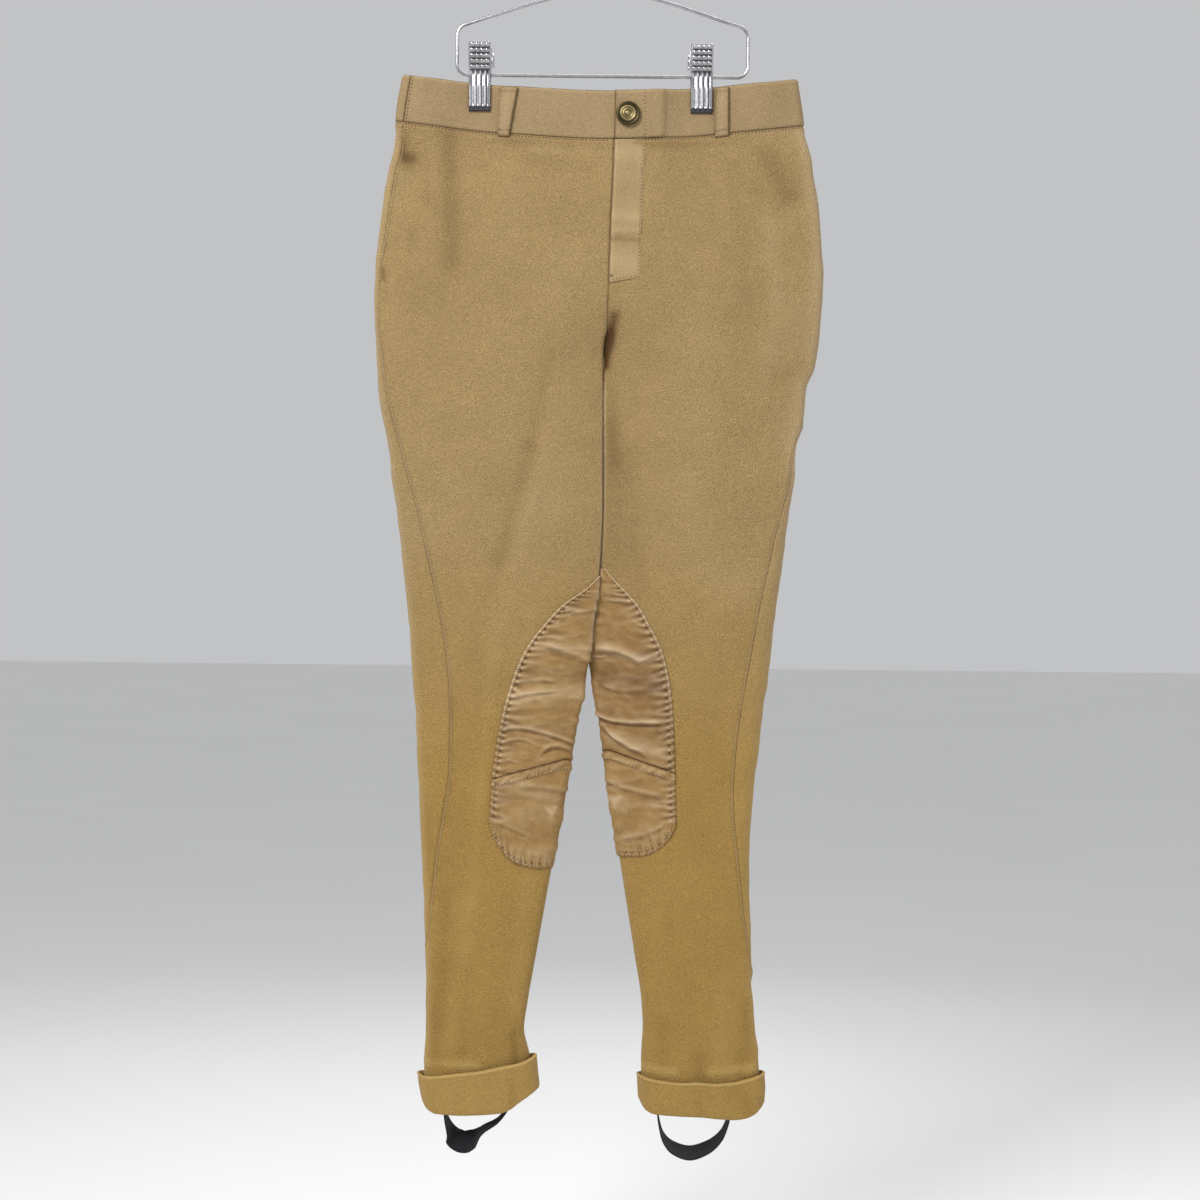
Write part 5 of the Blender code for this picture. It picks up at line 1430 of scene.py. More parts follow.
def patch_piece(sheet, upper, row_step):
    """One knee patch, wrapped round the inner fold from the front's sewn edge to the back's."""
    leg = sheet.leg
    first, last = (sheet.first, sheet.cross - 0.15) if upper else (sheet.cross + 0.15, sheet.corner)
    scan = np.linspace(first, last, 600)
    steps = np.hypot(np.diff(scan), np.diff(leg.patch_edge(scan)))
    run = np.concatenate(([0.0], np.cumsum(steps)))
    along_row = np.linspace(0.0, run[-1], max(20, round(run[-1] / row_step)) + 1)
    edge_drops = np.interp(along_row, run, scan)[:, None]
    near = 1.0 - np.concatenate(([0.0, 0.004, 0.010, 0.018, 0.027, 0.037, 0.048, 0.060], np.arange(
        0.073, 0.20, 0.0135)))
    shares = np.concatenate((near, np.linspace(0.80, 0.10, 34), np.linspace(0.085, 0.0, 7)))
    shares = np.concatenate((-shares, shares[::-1][1:]))[None, :]
    drop = sheet.upper(edge_drops, shares) if upper else sheet.lower(edge_drops, shares)
    angle = sheet.angle(shares, drop)
    place = ring(leg, drop, angle)
    x, back = place[..., 0], angle > math.pi
    width = sheet.width(drop)
    from_edge = (1.0 - np.abs(shares)) * width
    points = np.stack((x, place[..., 1], drop), axis=-1)
    down = np.linalg.norm(np.diff(points, axis=0), axis=-1)
    from_first = np.concatenate((np.zeros((1, x.shape[1])), np.cumsum(down, axis=0)))
    from_last = from_first[-1] - from_first
    along = np.interp(drop, scan, run) + np.maximum(drop - last, 0.0)
    seed = 81 + (leg.side == "left") + 2 * upper
    if upper:
        lift, dark, pucker_highlight = pucker_relief(along, from_edge, run[-1] - 2.0, seed)
        sewn = from_edge
    else:
        lift, dark, pucker_highlight = pucker_relief(along + LOWER_START, from_edge, run[-1] + LOWER_START - 4.0, seed)
        inward = width - from_edge + PUCKER_FIRST - 4.0
        below = pucker_relief(inward, from_last + 1.0, float(width.max()), seed + 4)
        lift, dark, pucker_highlight = lift + 0.55 * below[0], dark + 0.45 * below[1], pucker_highlight + 0.5 * below[2]
        sewn = np.minimum(from_edge, from_last)
    edge_only = bump(sewn - STITCH_IN, 0.8)
    lift = lift - 0.6 * edge_only - edge_rounding(sewn, 0.9)
    bead = bump(from_edge - 1.0, 0.8) * (1.0 - ease((drop - 520.0) / 60.0))
    lift = lift + 0.4 * bead
    # Painted shade in the stitched groove and a dark line at the sewn edge; a painted highlight on the bead.
    dark = dark + 0.22 * edge_only + 0.45 * bump(sewn, 0.5)
    light = 0.42 * bead + pucker_highlight
    if upper and leg.side == "left":
        dark = dark + 0.14 + 0.16 * bump(drop - 535.0, 48.0) * (1.0 - back)
    if upper:
        lift = lift - 0.6 * edge_rounding(from_last, 1.2) + 0.35 * bump(from_last - 3.0, 2.2)
        dark = dark + 0.72 * bump(from_last, 0.9) * (from_edge > 2.0)
    else:
        below_stitch = from_first - CROSS_STITCH
        lift = lift - 0.6 * edge_rounding(from_first, 1.0)
        lift = lift + 0.8 * ease(from_first / 2.0) * (1.0 - ease((below_stitch + 1.5) / 3.0))
        lift = lift - 0.7 * bump(below_stitch, 1.1)
        dark = dark + 0.6 * bump(from_first, 0.8) + 0.36 * bump(below_stitch, 0.8)
        band = ease((from_first - 0.8) / 1.2) * (1.0 - ease(below_stitch + 0.8))
        gathers = 0.5 + 0.5 * np.cos(2.0 * math.pi * (x + 1.1 * from_first) / 9.0
                                     + 3.4 * waves(x, 0.0, 94, 30.0))
        lift = lift + 0.7 * band - 1.1 * band * gathers ** 2
        # Painted shade in the gathers and below the stitches, and painted highlights between the gathers.
        dark = dark + 0.16 * band * gathers ** 2 + 0.2 * bump(below_stitch - 0.9, 0.9)
        light = light + 0.16 * band * (1.0 - gathers)
    for face, rows in ((False, FRONT_CREASES), (True, BACK_CREASES)):
        here = (back == face) * ease(from_edge / 5.0)
        creases = crease_relief(rows[leg.side], x, drop)
        lift, dark, light = (had + here * more for had, more in zip((lift, dark, light), creases))
    inside = ease((from_edge - 3.0) / 8.0)
    rough = waves(x, drop, 91, 24.0, 2.6) + 0.55 * waves(x, drop, 92, 12.0, 2.4)
    fine = np.clip(1.0 - 1.5 * np.abs(waves(x, drop, 93, 17.0, 3.0)), 0.0, 1.0)
    tip = bump(x - leg.inner(drop), 6.0)
    small = waves(x, drop, 95, 6.5, 1.7)
    lift = lift + inside * (0.6 - 0.1 * tip) * rough + inside * (1.0 - 0.6 * tip) * 0.6 * fine
    folds = np.clip(1.0 - 1.4 * np.abs(waves(x, drop, 96, 11.0, 3.2)), 0.0, 1.0)
    lift = lift + inside * (0.12 * small + 0.35 * (1.0 - 0.6 * tip) * folds)
    # Painted shade and painted highlights that follow the small wrinkles and folds.
    dark = dark + inside * np.clip(-0.06 * rough - 0.03 * small + 0.05 * (1.0 - folds), 0.0, 0.25)
    light = light + inside * np.clip(0.03 * rough + 0.04 * fine + 0.03 * folds + 0.02 * small, 0.0, 0.2)
    # Painted light along the right leg's fold, then the listed painted highlights and painted shades, which
    # also raise or press the cloth.
    light = light + beside_right(leg, x, drop) * (1.0 - back)
    for *line, wide, strength in PATCH_LIGHTS[leg.side]:
        near = bump(from_segment(x, drop, *line), wide)
        lift = lift + 3.0 * strength * near * inside
        light, dark = light + max(strength, 0.0) * near, dark + max(-strength, 0.0) * near
    for mark_x, mark_drop, wide, high in RUBBED[leg.side]:
        sides = np.abs((x - mark_x) / wide) * 0.9 + (drop - mark_drop) / high * 0.5
        spot = ease(2.0 - 2.2 * np.maximum(sides, -(drop - mark_drop) / high)) * (1.0 - back)
        lines = 0.75 + 0.25 * np.cos(2.0 * math.pi * drop / 1.6)
        light = light + 0.34 * spot * lines
    stood = np.logaddexp(0.0, 4.0 * (0.65 + lift)) / 4.0
    outer = skin(leg, drop, angle, PATCH_LIFT + 0.35 + stood)
    inner = skin(leg, drop, angle, np.full(x.shape, PATCH_LIFT - 0.15))
    push((outer, inner), lip_beside_right(leg, back, x, drop))
    name = f"knee_patch_{'upper' if upper else 'lower'}_{leg.side}"
    middle = range(len(near) + 34, x.shape[1] - len(near) - 34, 2)
    marks = shades(dark, np.clip(light, 0.0, 0.8), 0.95)
    obj = shell(name, "cloth", (outer, inner), "patch", marks, 8, keep=set(middle))
    area = grid_area(inner)
    wide, tall = 2.0 * float(width.max()), float(from_first[-1].max())
    cloth(obj, wide, max(tall, area / (wide * MM) / MM * 1.01), "laid", both_panels(leg),
          min(area, wide * tall * MM * MM))


def cuff_surface(leg, share_down, angle, inset):
    """x, y and drop of a turn-up's skin."""
    rim_outer, rim_inner, bottom_outer, bottom_inner = CUFF_SPANS[leg.side]
    outer = rim_outer + (bottom_outer - rim_outer) * share_down
    inner = rim_inner + (bottom_inner - rim_inner) * share_down
    half = CUFF_HALF_RIM + (CUFF_HALF_BOTTOM - CUFF_HALF_RIM) * share_down - inset
    fold = CUFF_FOLD - inset
    sign = np.sign(outer - inner)
    outer, inner = outer - sign * inset, inner + sign * inset
    across = (1.0 - np.cos(angle)) / 2.0
    x = inner + (outer - inner) * across
    near = np.minimum(np.abs(x - inner), np.abs(x - outer))
    depth = fold * np.sqrt(1.0 - (1.0 - np.minimum(near / fold, 1.0)) ** 2)
    depth = depth + (half - fold) * np.abs(np.sin(math.pi * across)) ** BODY_FULLNESS
    y = leg.forward + np.where(np.sin(angle) < 0.0, depth, -depth)
    rim, bottom = leg.cuff_rim(1.0 - across), leg.cuff_bottom(1.0 - across)
    return x, y, rim + (bottom - rim) * share_down


# Rows down a turn-up: share of its height, inset of its skin, thickness
CUFF_ROWS = (
    (0, 1.3, 0.2),
    (0.005, 0.7, 0.9),
    (0.014, 0.25, 1.5),
    (0.03, -0.1, 1.9),
    (0.052, -0.2, 1.9),
    (0.075, 0, 1.9),
    (0.095, 0.25, 1.9),
    (0.13, 0.3, 1.9),
    (0.24, 0.25, 1.9),
    (0.34, 0.2, 1.9),
    (0.44, 0.1, 1.9),
    (0.54, 0, 1.9),
    (0.64, 0, 1.9),
    (0.74, 0.1, 1.9),
    (0.82, 0.1, 1.9),
    (0.89, 0.2, 1.9),
    (0.94, 0.5, 1.9),
    (0.975, 1, 1.9),
    (0.995, 1.9, 1.7),
    (1, 2.9, 1.2),
    (0.995, 4.2, 0.5),
    (0.985, 4.8, 0.1),
)
# Soft folds down the turn-ups: x, width, depth, darkening (painted shade in the fold)
CUFF_FOLDS = {
    "right": (
        (-67, 3.2, 1.1, 0.16),
        (-112, 6, 0.5, 0.05),
    ),
    "left": (
        (92, 3, 0.9, 0.14),
        (133, 4.5, 1, 0.12),
    ),
}


def make_cuff(leg):
    """A turn-up: a ring of cloth with a thick rim that turns in under the hem."""
    angles = np.linspace(0.0, 2.0 * math.pi, 241)[:-1]
    turn = (angles - 0.5 * np.sin(2.0 * angles) * 0.35)[None, :]
    share, inset, thick = (np.array(CUFF_ROWS)[:, column][:, None] for column in range(3))
    x, _, drop = cuff_surface(leg, share, turn, inset)
    shape = 0.45 * waves(x, drop * 0.6, [101] * len(angles), 26.0) + 0.15 * waves(x, drop, 102, 9.0)
    dark = 0.02 * waves(x, drop, 103, 30.0)
    for place, width, depth, darkening in CUFF_FOLDS[leg.side]:
        near = bump(x - place, width) * (np.sin(turn) > 0.0) * ease((share - 0.12) / 0.3)
        shape = shape - depth * near
        dark = dark + darkening * near
    inset = inset - shape * (1.0 - ease((share - 0.9) / 0.1)) * 0.8
    x, y, drop = cuff_surface(leg, share, turn, inset)
    ripple = 0.25 * waves(x, 0.0, 104, 24.0) * (1.0 - ease(share / 0.2))
    outer = to_scene(x, y, drop + ripple)
    lip = np.zeros_like(share)
    lip[-3:] = 1.0
    x, y, drop = cuff_surface(leg, share, turn, inset + thick * (1.0 - lip))
    inner = to_scene(x, y, drop + ripple - thick * lip)
    # A painted shadow under the rim's roll and painted shade where the cloth turns under the hem; a painted
    # highlight along the rim, and a flat lightening of the whole turn-up, more on the right one.
    dark = dark + 0.16 * bump(share - 0.10, 0.014) + 0.10 * ease((share - 0.95) / 0.05)
    light = 0.42 * bump(share - 0.035, 0.04) + (0.13 if leg.side == "right" else 0.05)
    marks = shades(dark, light)
    obj = shell(f"cuff_{leg.side}", "cloth", (outer, inner), "knit", marks, closed=True)
    around = along_points(np.vstack((outer[8], outer[8][:1])))[-1]
    cloth(obj, around, along_points(outer[:, 60])[-1], "folded", both_panels(leg))


def make_strap(leg, sizes):
    """An elastic foot strap: a flat ribbed band along its route, turned as it goes."""
    rows = np.array(STRAP_ROUTES[leg.side], float)
    run = np.concatenate(([0.0], np.cumsum(np.linalg.norm(np.diff(rows[:, :3], axis=0), axis=1))))
    places = np.linspace(0.0, run[-1], 141)
    x, y, drop, turn = (smooth_column(np.column_stack((run, rows)), column)(places) for column in range(1, 5))
    seat = skin(leg, drop, angle_at(leg, drop, x), np.full(x.shape, -2.0))[:, 1] / MM
    seat = seat + sizes.strap_width / MM / 2.0
    loose = ease((drop - STRAP_SEWN_TO) / (STRAP_FREE_FROM - STRAP_SEWN_TO))
    y = y + leg.forward
    y = y + (seat - y) * (1.0 - loose)
    centre = to_scene(x, y, drop)
    along = np.gradient(centre, axis=0)
    along /= np.linalg.norm(along, axis=1, keepdims=True)
    turn = np.radians(turn)
    width = np.stack((np.zeros_like(turn), np.cos(turn), np.sin(turn)), axis=1)
    width -= along * np.einsum("ij,ij->i", width, along)[:, None]
    width /= np.linalg.norm(width, axis=1, keepdims=True)
    out = np.cross(along, width)
    parts = between_sides(0.5, (0.0, 0.01, 0.035), 0.43, 31)[0]
    thick = sizes.strap_cloth / 2.0 - edge_rounding((0.5 - np.abs(parts)) * 19.0, 0.6) * MM
    ribs = 0.13 * MM * np.cos(2.0 * math.pi * parts * 9.0) * (np.abs(parts) < 0.46)
    half = (thick + ribs)[None, :, None] * out[:, None, :]
    middle = centre[:, None, :] + parts[None, :, None] * sizes.strap_width * width[:, None, :]
    obj = shell(f"foot_strap_{leg.side}", "elastic", (middle + half, middle - half), "elastic")
    cloth(obj, sizes.strap_width / MM, run[-1], "hung", both_panels(leg))


def make_wire(node, points, thickness, cyclic=False):
    """A round chrome wire through points given as x, y and drop."""
    curve = bpy.data.curves.new(f"{node}_wire", "CURVE")
    curve.dimensions = "3D"
    curve.bevel_depth = thickness / 2.0
    curve.bevel_resolution = 4
    curve.use_fill_caps = True
    spline = curve.splines.new("POLY")
    spline.points.add(len(points) - 1)
    for target, point in zip(spline.points, points):
        target.co = (*to_scene(*point), 1.0)
    spline.use_cyclic_u = cyclic
    spline.use_smooth = True
    place_object(curve.name, curve, finish("chrome"), (node,))


def arc(centre_x, centre_drop, radius, start, end, steps=12):
    """Points round an arc; degrees run from +X towards a larger drop."""
    turns = np.radians(np.linspace(start, end, steps))
    return [(centre_x + radius * math.cos(turn), 0.0, centre_drop + radius * math.sin(turn))
            for turn in turns]


def make_hanger(wire):
    """The wire frame and its hook."""
    lean = math.degrees(math.atan2(APEX_RISE - ARM_RISE, BAR_HALF))
    half = arc(BAR_HALF - CORNER, -CORNER, CORNER, 90.0, 0.0)
    half += arc(BAR_HALF - CORNER, -ARM_RISE + CORNER, CORNER, 0.0, -90.0 + lean)
    half += [(BAR_HALF * 0.5, 0.0, -ARM_RISE - (APEX_RISE - ARM_RISE) * 0.52)]
    half += [(CORNER * 0.8, 0.0, -APEX_RISE + 1.2)]
    mirrored = [(-x, y, drop) for x, y, drop in half[::-1]]
    make_wire("hanger_frame", half + [(0.0, 0.0, -APEX_RISE)] + mirrored, wire, cyclic=True)
    half_wire = wire / MM / 2.0
    top = -BAR_DROP - half_wire + HOOK_RADIUS
    neck = [(x, 0.0, top + drop) for x, drop in HOOK_NECK]
    foot = [(0.0, 0.0, -APEX_RISE - half_wire - SEAM_GAP)]
    make_wire("hanger_hook", arc(0.0, top, HOOK_RADIUS, 205.0, 395.0, 40) + neck + foot, wire)


def make_jaw(side, face):
    """One jaw of a clip; the front one has studs on its thumb plate and ribs down to its tip."""
    half = CLIP_WIDTH / 2.0
    tip = CLIP_BOTTOM - 3.3
    drop = np.concatenate((CLIP_TOP + np.array([0.0, 0.15, 0.4, 0.8]), np.linspace(CLIP_TOP + 1.2, -4.2, 64),
                           np.linspace(-3.7, tip - 0.6, 34), [tip - 0.3, tip - 0.1, tip]))[:, None]
    across = between_sides(half, (0.0, 0.08, 0.25, 0.5), half - 0.85, 53)
    inside = smooth_column(JAW_LINE, 1)(drop)
    from_side = half - np.abs(across)
    away = np.minimum(from_side, np.minimum(drop - CLIP_TOP, tip - drop))
    rim = 0.55 * bump(from_side - 0.7, 0.6) + 0.45 * bump(drop - CLIP_TOP - 0.8, 0.8)
    raised = rim - edge_rounding(away, 0.6)
    dark = np.zeros(away.shape)
    if face < 0.0:
        for stud_drop in STUD_DROPS:
            for stud in STUD_COLUMNS:
                reach = np.hypot(across - stud, drop - stud_drop)
                raised = raised + 1.15 * np.sqrt(np.clip(1.0 - (reach / 1.75) ** 2, 0.0, 1.0))
            # Painted shadow under each row of studs.
            dark = dark + 0.95 * bump(drop - stud_drop - 2.1, 0.85) * (np.abs(across) < 8.4)
        low = ease((drop + 4.4) / 1.2) * (1.0 - ease((drop - tip + 0.8) / 0.8))
        from_rib = np.min(np.abs(across[None] - np.linspace(-8.4, 8.4, 5)[:, None, None]), axis=0)
        raised = raised - 0.75 * low * (1.0 - bump(from_rib, 0.95))
        # Painted shade and painted dark reflection in the flutes between the ribs.
        dark = dark + 0.85 * low * (1.0 - bump(from_rib, 1.15)) * (0.55 + 0.45 * ease((across + 8.0) / 14.0))
    node = f"clip_jaw_{face_name(face > 0.0)}_{side}"
    skins = [to_scene(CLIP_CENTRES[side] + across, face * (inside + out), drop)
             for out in (1.2 + raised, edge_rounding(away, 0.5) * 0.6)]
    shell(node, "plate", skins, "chrome", {"dark": np.clip(dark, 0.0, 0.9)})


def make_grip(side, face):
    """The rubber grip: it lies inside the jaw and wraps out below the metal, notched at its end."""
    node = f"clip_pad_{face_name(face > 0.0)}_{side}"
    low, high = (np.array(end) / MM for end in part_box(node))
    half = CLIP_WIDTH / 2.0 - 0.3
    top, bottom = -BAR_DROP - high[2], -BAR_DROP - low[2]
    close = bottom - np.array([0.45, 0.2, 0.0])
    drop = np.concatenate((np.linspace(top, bottom - 0.8, 26), close))[:, None]
    across = between_sides(half, (0.0, 0.15), half - 0.4, 45)
    cloth_side = low[1] if face > 0.0 else high[1]
    away = np.minimum(half - np.abs(across), np.minimum(drop - top, bottom - drop))
    wrapped = ease((drop - (CLIP_BOTTOM - 3.0)) / 0.25) * 1.25
    notches = np.max([bump(across - place, 0.9) for place in (-4.2, 0.0, 4.2)], axis=0)
    wrapped = wrapped * (1.0 - 0.45 * notches * (1.0 - ease((drop - CLIP_BOTTOM + 1.6) / 1.2)))
    skins = [to_scene(CLIP_CENTRES[side] + across, cloth_side + face * out, drop)
             for out in (GRIP_CLOTH + wrapped - edge_rounding(away, 0.5) * 0.8, 0.05)]
    shell(node, "rubber", skins, "rubber")


def make_sleeve(side):
    """The rolled tube that turns on the bar between a clip's jaws."""
    bore, rim = 1.85, 3.4
    half = (CLIP_WIDTH - 1.5) / 2.0
    side_profile = ((bore, half - 0.2), (bore + 0.3, half), (rim - 0.3, half), (rim, half - 0.3),
                    (rim, half * 0.4), (rim - 0.25, half * 0.36))
    profile = side_profile + tuple((radius, -across) for radius, across in side_profile[::-1])
    turns = np.linspace(0.0, 2.0 * math.pi, 49)[:-1]
    points = [to_scene(CLIP_CENTRES[side] + across, radius * math.cos(turn), -radius * math.sin(turn))
              for radius, across in profile for turn in turns]
    count, rings = len(turns), len(profile)
    faces = [[r * count + k, r * count + (k + 1) % count, (r + 1) % rings * count + (k + 1) % count,
              (r + 1) % rings * count + k] for r in range(rings) for k in range(count)]
    node = f"clip_sleeve_{side}"
    mesh = mesh_from(f"{node}_tube", points, faces, {"dark": np.zeros(len(points))}, 40.0)
    place_object(mesh.name, mesh, finish("chrome"), (node,))


def make_spring(side, thickness):
    """The spring wire that shows beside a clip, bowed from one jaw to the other round the bar."""
    inboard = 1.0 if side == "right" else -1.0
    x = CLIP_CENTRES[side] + inboard * (CLIP_WIDTH / 2.0 + 1.5)
    turns = np.radians(np.linspace(-118.0, 118.0, 49))
    bow = [(x, 9.0 * math.sin(turn), -11.0 - 7.0 * math.cos(turn)) for turn in turns]
    make_wire(f"clip_spring_{side}", bow, thickness)


def at_grid(grid, rows, columns):
    """Points of a grid at fractional rows and columns."""
    rows = np.clip(rows, 0.0, grid.shape[0] - 1.001)
    columns = np.clip(columns, 0.0, grid.shape[1] - 1.001)
    r, c = rows.astype(int), columns.astype(int)
    down, along = (rows - r)[:, None], (columns - c)[:, None]
    upper = grid[r, c] * (1.0 - along) + grid[r, c + 1] * along
    lower = grid[r + 1, c] * (1.0 - along) + grid[r + 1, c + 1] * along
    return upper * (1.0 - down) + lower * down


def along_points(points):
    """Distances along a row of scene points, in millimetres."""
    return np.concatenate(([0.0], np.cumsum(np.linalg.norm(np.diff(points, axis=0), axis=1)))) / MM


def column_line(grid, distance, first, last, far=False):
    """A line down a grid at a distance, in millimetres, in from its near or far side."""
    rows = np.arange(first, last)
    columns = []
    for row in rows:
        run = along_points(grid[row, ::-1] if far else grid[row])
        place = np.interp(distance, run, np.arange(len(run)))
        columns.append(grid.shape[1] - 1 - place if far else place)
    return rows.astype(float), np.array(columns)


def row_line(grid, distance, first, last, far=False):
    """A line across a grid at a distance, in millimetres, from its first or last row."""
    columns, rows = column_line(grid.transpose(1, 0, 2), distance, first, last, far)
    return rows, columns


def stitch_line(name, line, length, gap, stitches, holes):
    """Add a line of stitches, and of the needle holes between them, as ends and normals; the holes are drawn
    as short dark stitches, a painted shade.
    """
    outer, inner = GRIDS[name]
    rows, columns = line
    points = at_grid(outer, rows, columns)
    run = along_points(points)
    starts = np.arange(0.3, run[-1] - length - gap, length + gap)
    if not len(starts):
        return

    def ends(places):
        row, column = np.interp(places, run, rows), np.interp(places, run, columns)
        point = at_grid(outer, row, column)
        down = at_grid(outer, row + 0.7, column) - at_grid(outer, row - 0.7, column)
        across = at_grid(outer, row, column + 0.7) - at_grid(outer, row, column - 0.7)
        normal = np.cross(down, across)
        normal /= np.linalg.norm(normal, axis=1, keepdims=True) + 1e-12
        facing = np.einsum("ij,ij->i", normal, point - at_grid(inner, row, column))
        return point, normal * np.where(facing < 0.0, -1.0, 1.0)[:, None]

    for group, begin, end in ((stitches, 0.0, length), (holes, length, length + gap)):
        first, normal = ends(starts + begin)
        second, other = ends(starts + end)
        group.append(np.stack((first, second, normal + other), axis=1))


def make_stitches(name, groups, width, height, material):
    """One mesh of small rounded stitches between pairs of points."""
    rows = np.concatenate(groups)
    first, second, normal = rows[:, 0], rows[:, 1], rows[:, 2]
    normal = normal / np.linalg.norm(normal, axis=1, keepdims=True)
    along = second - first
    length = np.linalg.norm(along, axis=1, keepdims=True)
    along = along / length
    side = np.cross(along, normal)
    side /= np.linalg.norm(side, axis=1, keepdims=True)
    middle = (first + second) / 2.0
    turns = np.radians(np.arange(0.0, 360.0, 60.0))
    rings = []
    for place, size in ((-0.86, 0.6), (-0.45, 1.0), (0.45, 1.0), (0.86, 0.6)):
        rise = height * (0.25 - 0.55 * place ** 2)
        for turn in turns:
            up, across = rise + height * size * math.sin(turn), width * size * math.cos(turn)
            rings.append(middle + along * length * 0.5 * place + normal * up + side * across)
    for place in (-1.0, 1.0):
        rings.append(middle + along * length * 0.5 * place - normal * height * 0.4)
    points = np.stack(rings, axis=1)
    each = points.shape[1]
    shape = [[r * 6 + k, r * 6 + (k + 1) % 6, (r + 1) * 6 + (k + 1) % 6, (r + 1) * 6 + k]
             for r in range(3) for k in range(6)]
    shape += [[(k + 1) % 6, k, 24] for k in range(6)] + [[18 + k, 18 + (k + 1) % 6, 25] for k in range(6)]
    faces = [[corner + s * each for corner in face] for s in range(len(points)) for face in shape]
    mesh = mesh_from(name, points, faces, sharp=80.0)
    place_object(name, mesh, material)


def make_stitching():
    """Topstitching along the seams, the waist, the placket and the knee patches."""
    seams, waist, patches = ([], []), ([], []), ([], [])

    def sew(name, line_of, distance, first, short, length, gap, kind, far=False):
        """Stitch a line that starts at a row or column and stops short of the last one."""
        grid = GRIDS[f"{name}_cloth"][0]
        last = grid.shape[line_of is row_line] - short
        stitch_line(f"{name}_cloth", line_of(grid, distance, first, last, far), length, gap, *kind)

    for side in LEGS:
        for face in ("front", "back"):
            sew(f"{face}_{side}", row_line, 1.3, 2, 4, 1.7, 1.2, waist)
        sew(f"front_{side}", column_line, 2.5, 1, 14, 1.5, 0.7, seams)
        rows = len(GRIDS[f"back_{side}_cloth"][0])
        above_crotch = (CROTCH_DROP - 26.0 - PANEL_TOP) / (HEM_DROP - PANEL_TOP)
        sew(f"back_{side}", column_line, 2.8, 1, rows - int(rows * above_crotch), 2.3, 1.0, seams, True)
        lower = f"knee_patch_lower_{side}"
        for name in (f"knee_patch_upper_{side}", lower):
            for far in (False, True):
                sew(name, column_line, STITCH_IN, 1, 1, *PATCH_STITCH, patches, far)
        for distance in (2.6, 6.0):
            sew(lower, row_line, distance, 6, 6, *PATCH_STITCH, patches, True)
        sew(lower, row_line, CROSS_STITCH, 6, 6, *PATCH_STITCH, patches)
    sew("waistband_front_right", column_line, 3.2, 1, 1, 1.7, 1.3, waist)
    tab = "waistband_front_left"
    sew(tab, column_line, 3.2, 1, 1, 1.7, 1.3, waist, True)
    grid = GRIDS[f"{tab}_cloth"][0]
    column = np.interp(TAB_STITCH, grid[12, :, 0] / MM, np.arange(grid.shape[1]))
    rows = np.arange(1.0, grid.shape[0] - 1)
    stitch_line(f"{tab}_cloth", (rows, np.full(len(rows), column)), 2.0, 1.2, *seams)
    sew("fly_placket", column_line, 1.3, 1, 3, 2.0, 1.1, seams, True)
    sew("fly_placket", row_line, 2.2, 2, 2, 2.0, 1.1, seams, True)
    for tack in (5.0, 5.7, 6.4):
        line = row_line(GRIDS["fly_placket_cloth"][0], tack, 1, 7, True)
        stitch_line("fly_placket_cloth", line, 1.2, 0.2, *waist)
    # The needle holes, the waist stitches and the placket's bar tack are drawn in the shaded thread, a
    # painted shade.
    for name, rows, width, height, thread, slot in (
            ("seams", seams[0], 0.42, 0.34, "thread", "knit"),
            ("seam_holes", seams[1], 0.5, 0.16, "dark_thread", "knit"),
            ("waist", waist[0], 0.6, 0.25, "dark_thread", "knit"),
            ("patches", patches[0], 0.42, 0.34, "thread", "patch"),
            ("patch_holes", patches[1], 0.5, 0.16, "dark_thread", "patch")):
        make_stitches(f"stitching_{name}", rows, width * MM, height * MM, finish(thread))


def link(name, data):
    """A new object in the scene."""
    obj = bpy.data.objects.new(name, data)
    bpy.context.scene.collection.objects.link(obj)
    return obj


def make_stage(sizes):
    """A plain pale floor, soft light and the photograph's camera."""
    for name, (place, size) in LIGHTS.items():
        light = bpy.data.lights.new(name, "AREA")
        light.shape = "SQUARE"
        light.size, light.energy = size, getattr(sizes, name)
        light.spread = math.radians(110.0)
        obj = link(name, light)
        obj.location = place
        obj.rotation_euler = (Vector(LIT_MIDDLE) - Vector(place)).to_track_quat("-Z", "Y").to_euler()
    world = bpy.data.worlds.new("pale_world")
    world.use_nodes = True
    background = world.node_tree.nodes["Background"]
    background.inputs["Color"].default_value = (0.93, 0.94, 0.96, 1.0)
    background.inputs["Strength"].default_value = sizes.world_light
    scene = bpy.context.scene
    scene.world = world
    scene.view_settings.view_transform = "Standard"
    half, height = sizes.floor_size / 2.0, -(BAR_DROP * MM + sizes.floor_drop)
    mesh = bpy.data.meshes.new("floor")
    mesh.from_pydata([(x * half, y * half, height) for x, y in ((-1, -1), (1, -1), (1, 1), (-1, 1))], [],
                     [(0, 1, 2, 3)])
    mesh.materials.append(finish("floor"))
    link("floor", mesh)
    data = bpy.data.cameras.new("camera")
    data.lens, data.sensor_width = sizes.lens, 36.0
    camera = link("camera", data)
    camera.location = CAMERA_PLACE
    camera.rotation_euler = (math.pi / 2.0, math.radians(sizes.roll), 0.0)
    scene.camera = camera


def size_property(name, description, default, unit="LENGTH"):
    return FloatProperty(name=name, description=description, default=default, unit=unit)


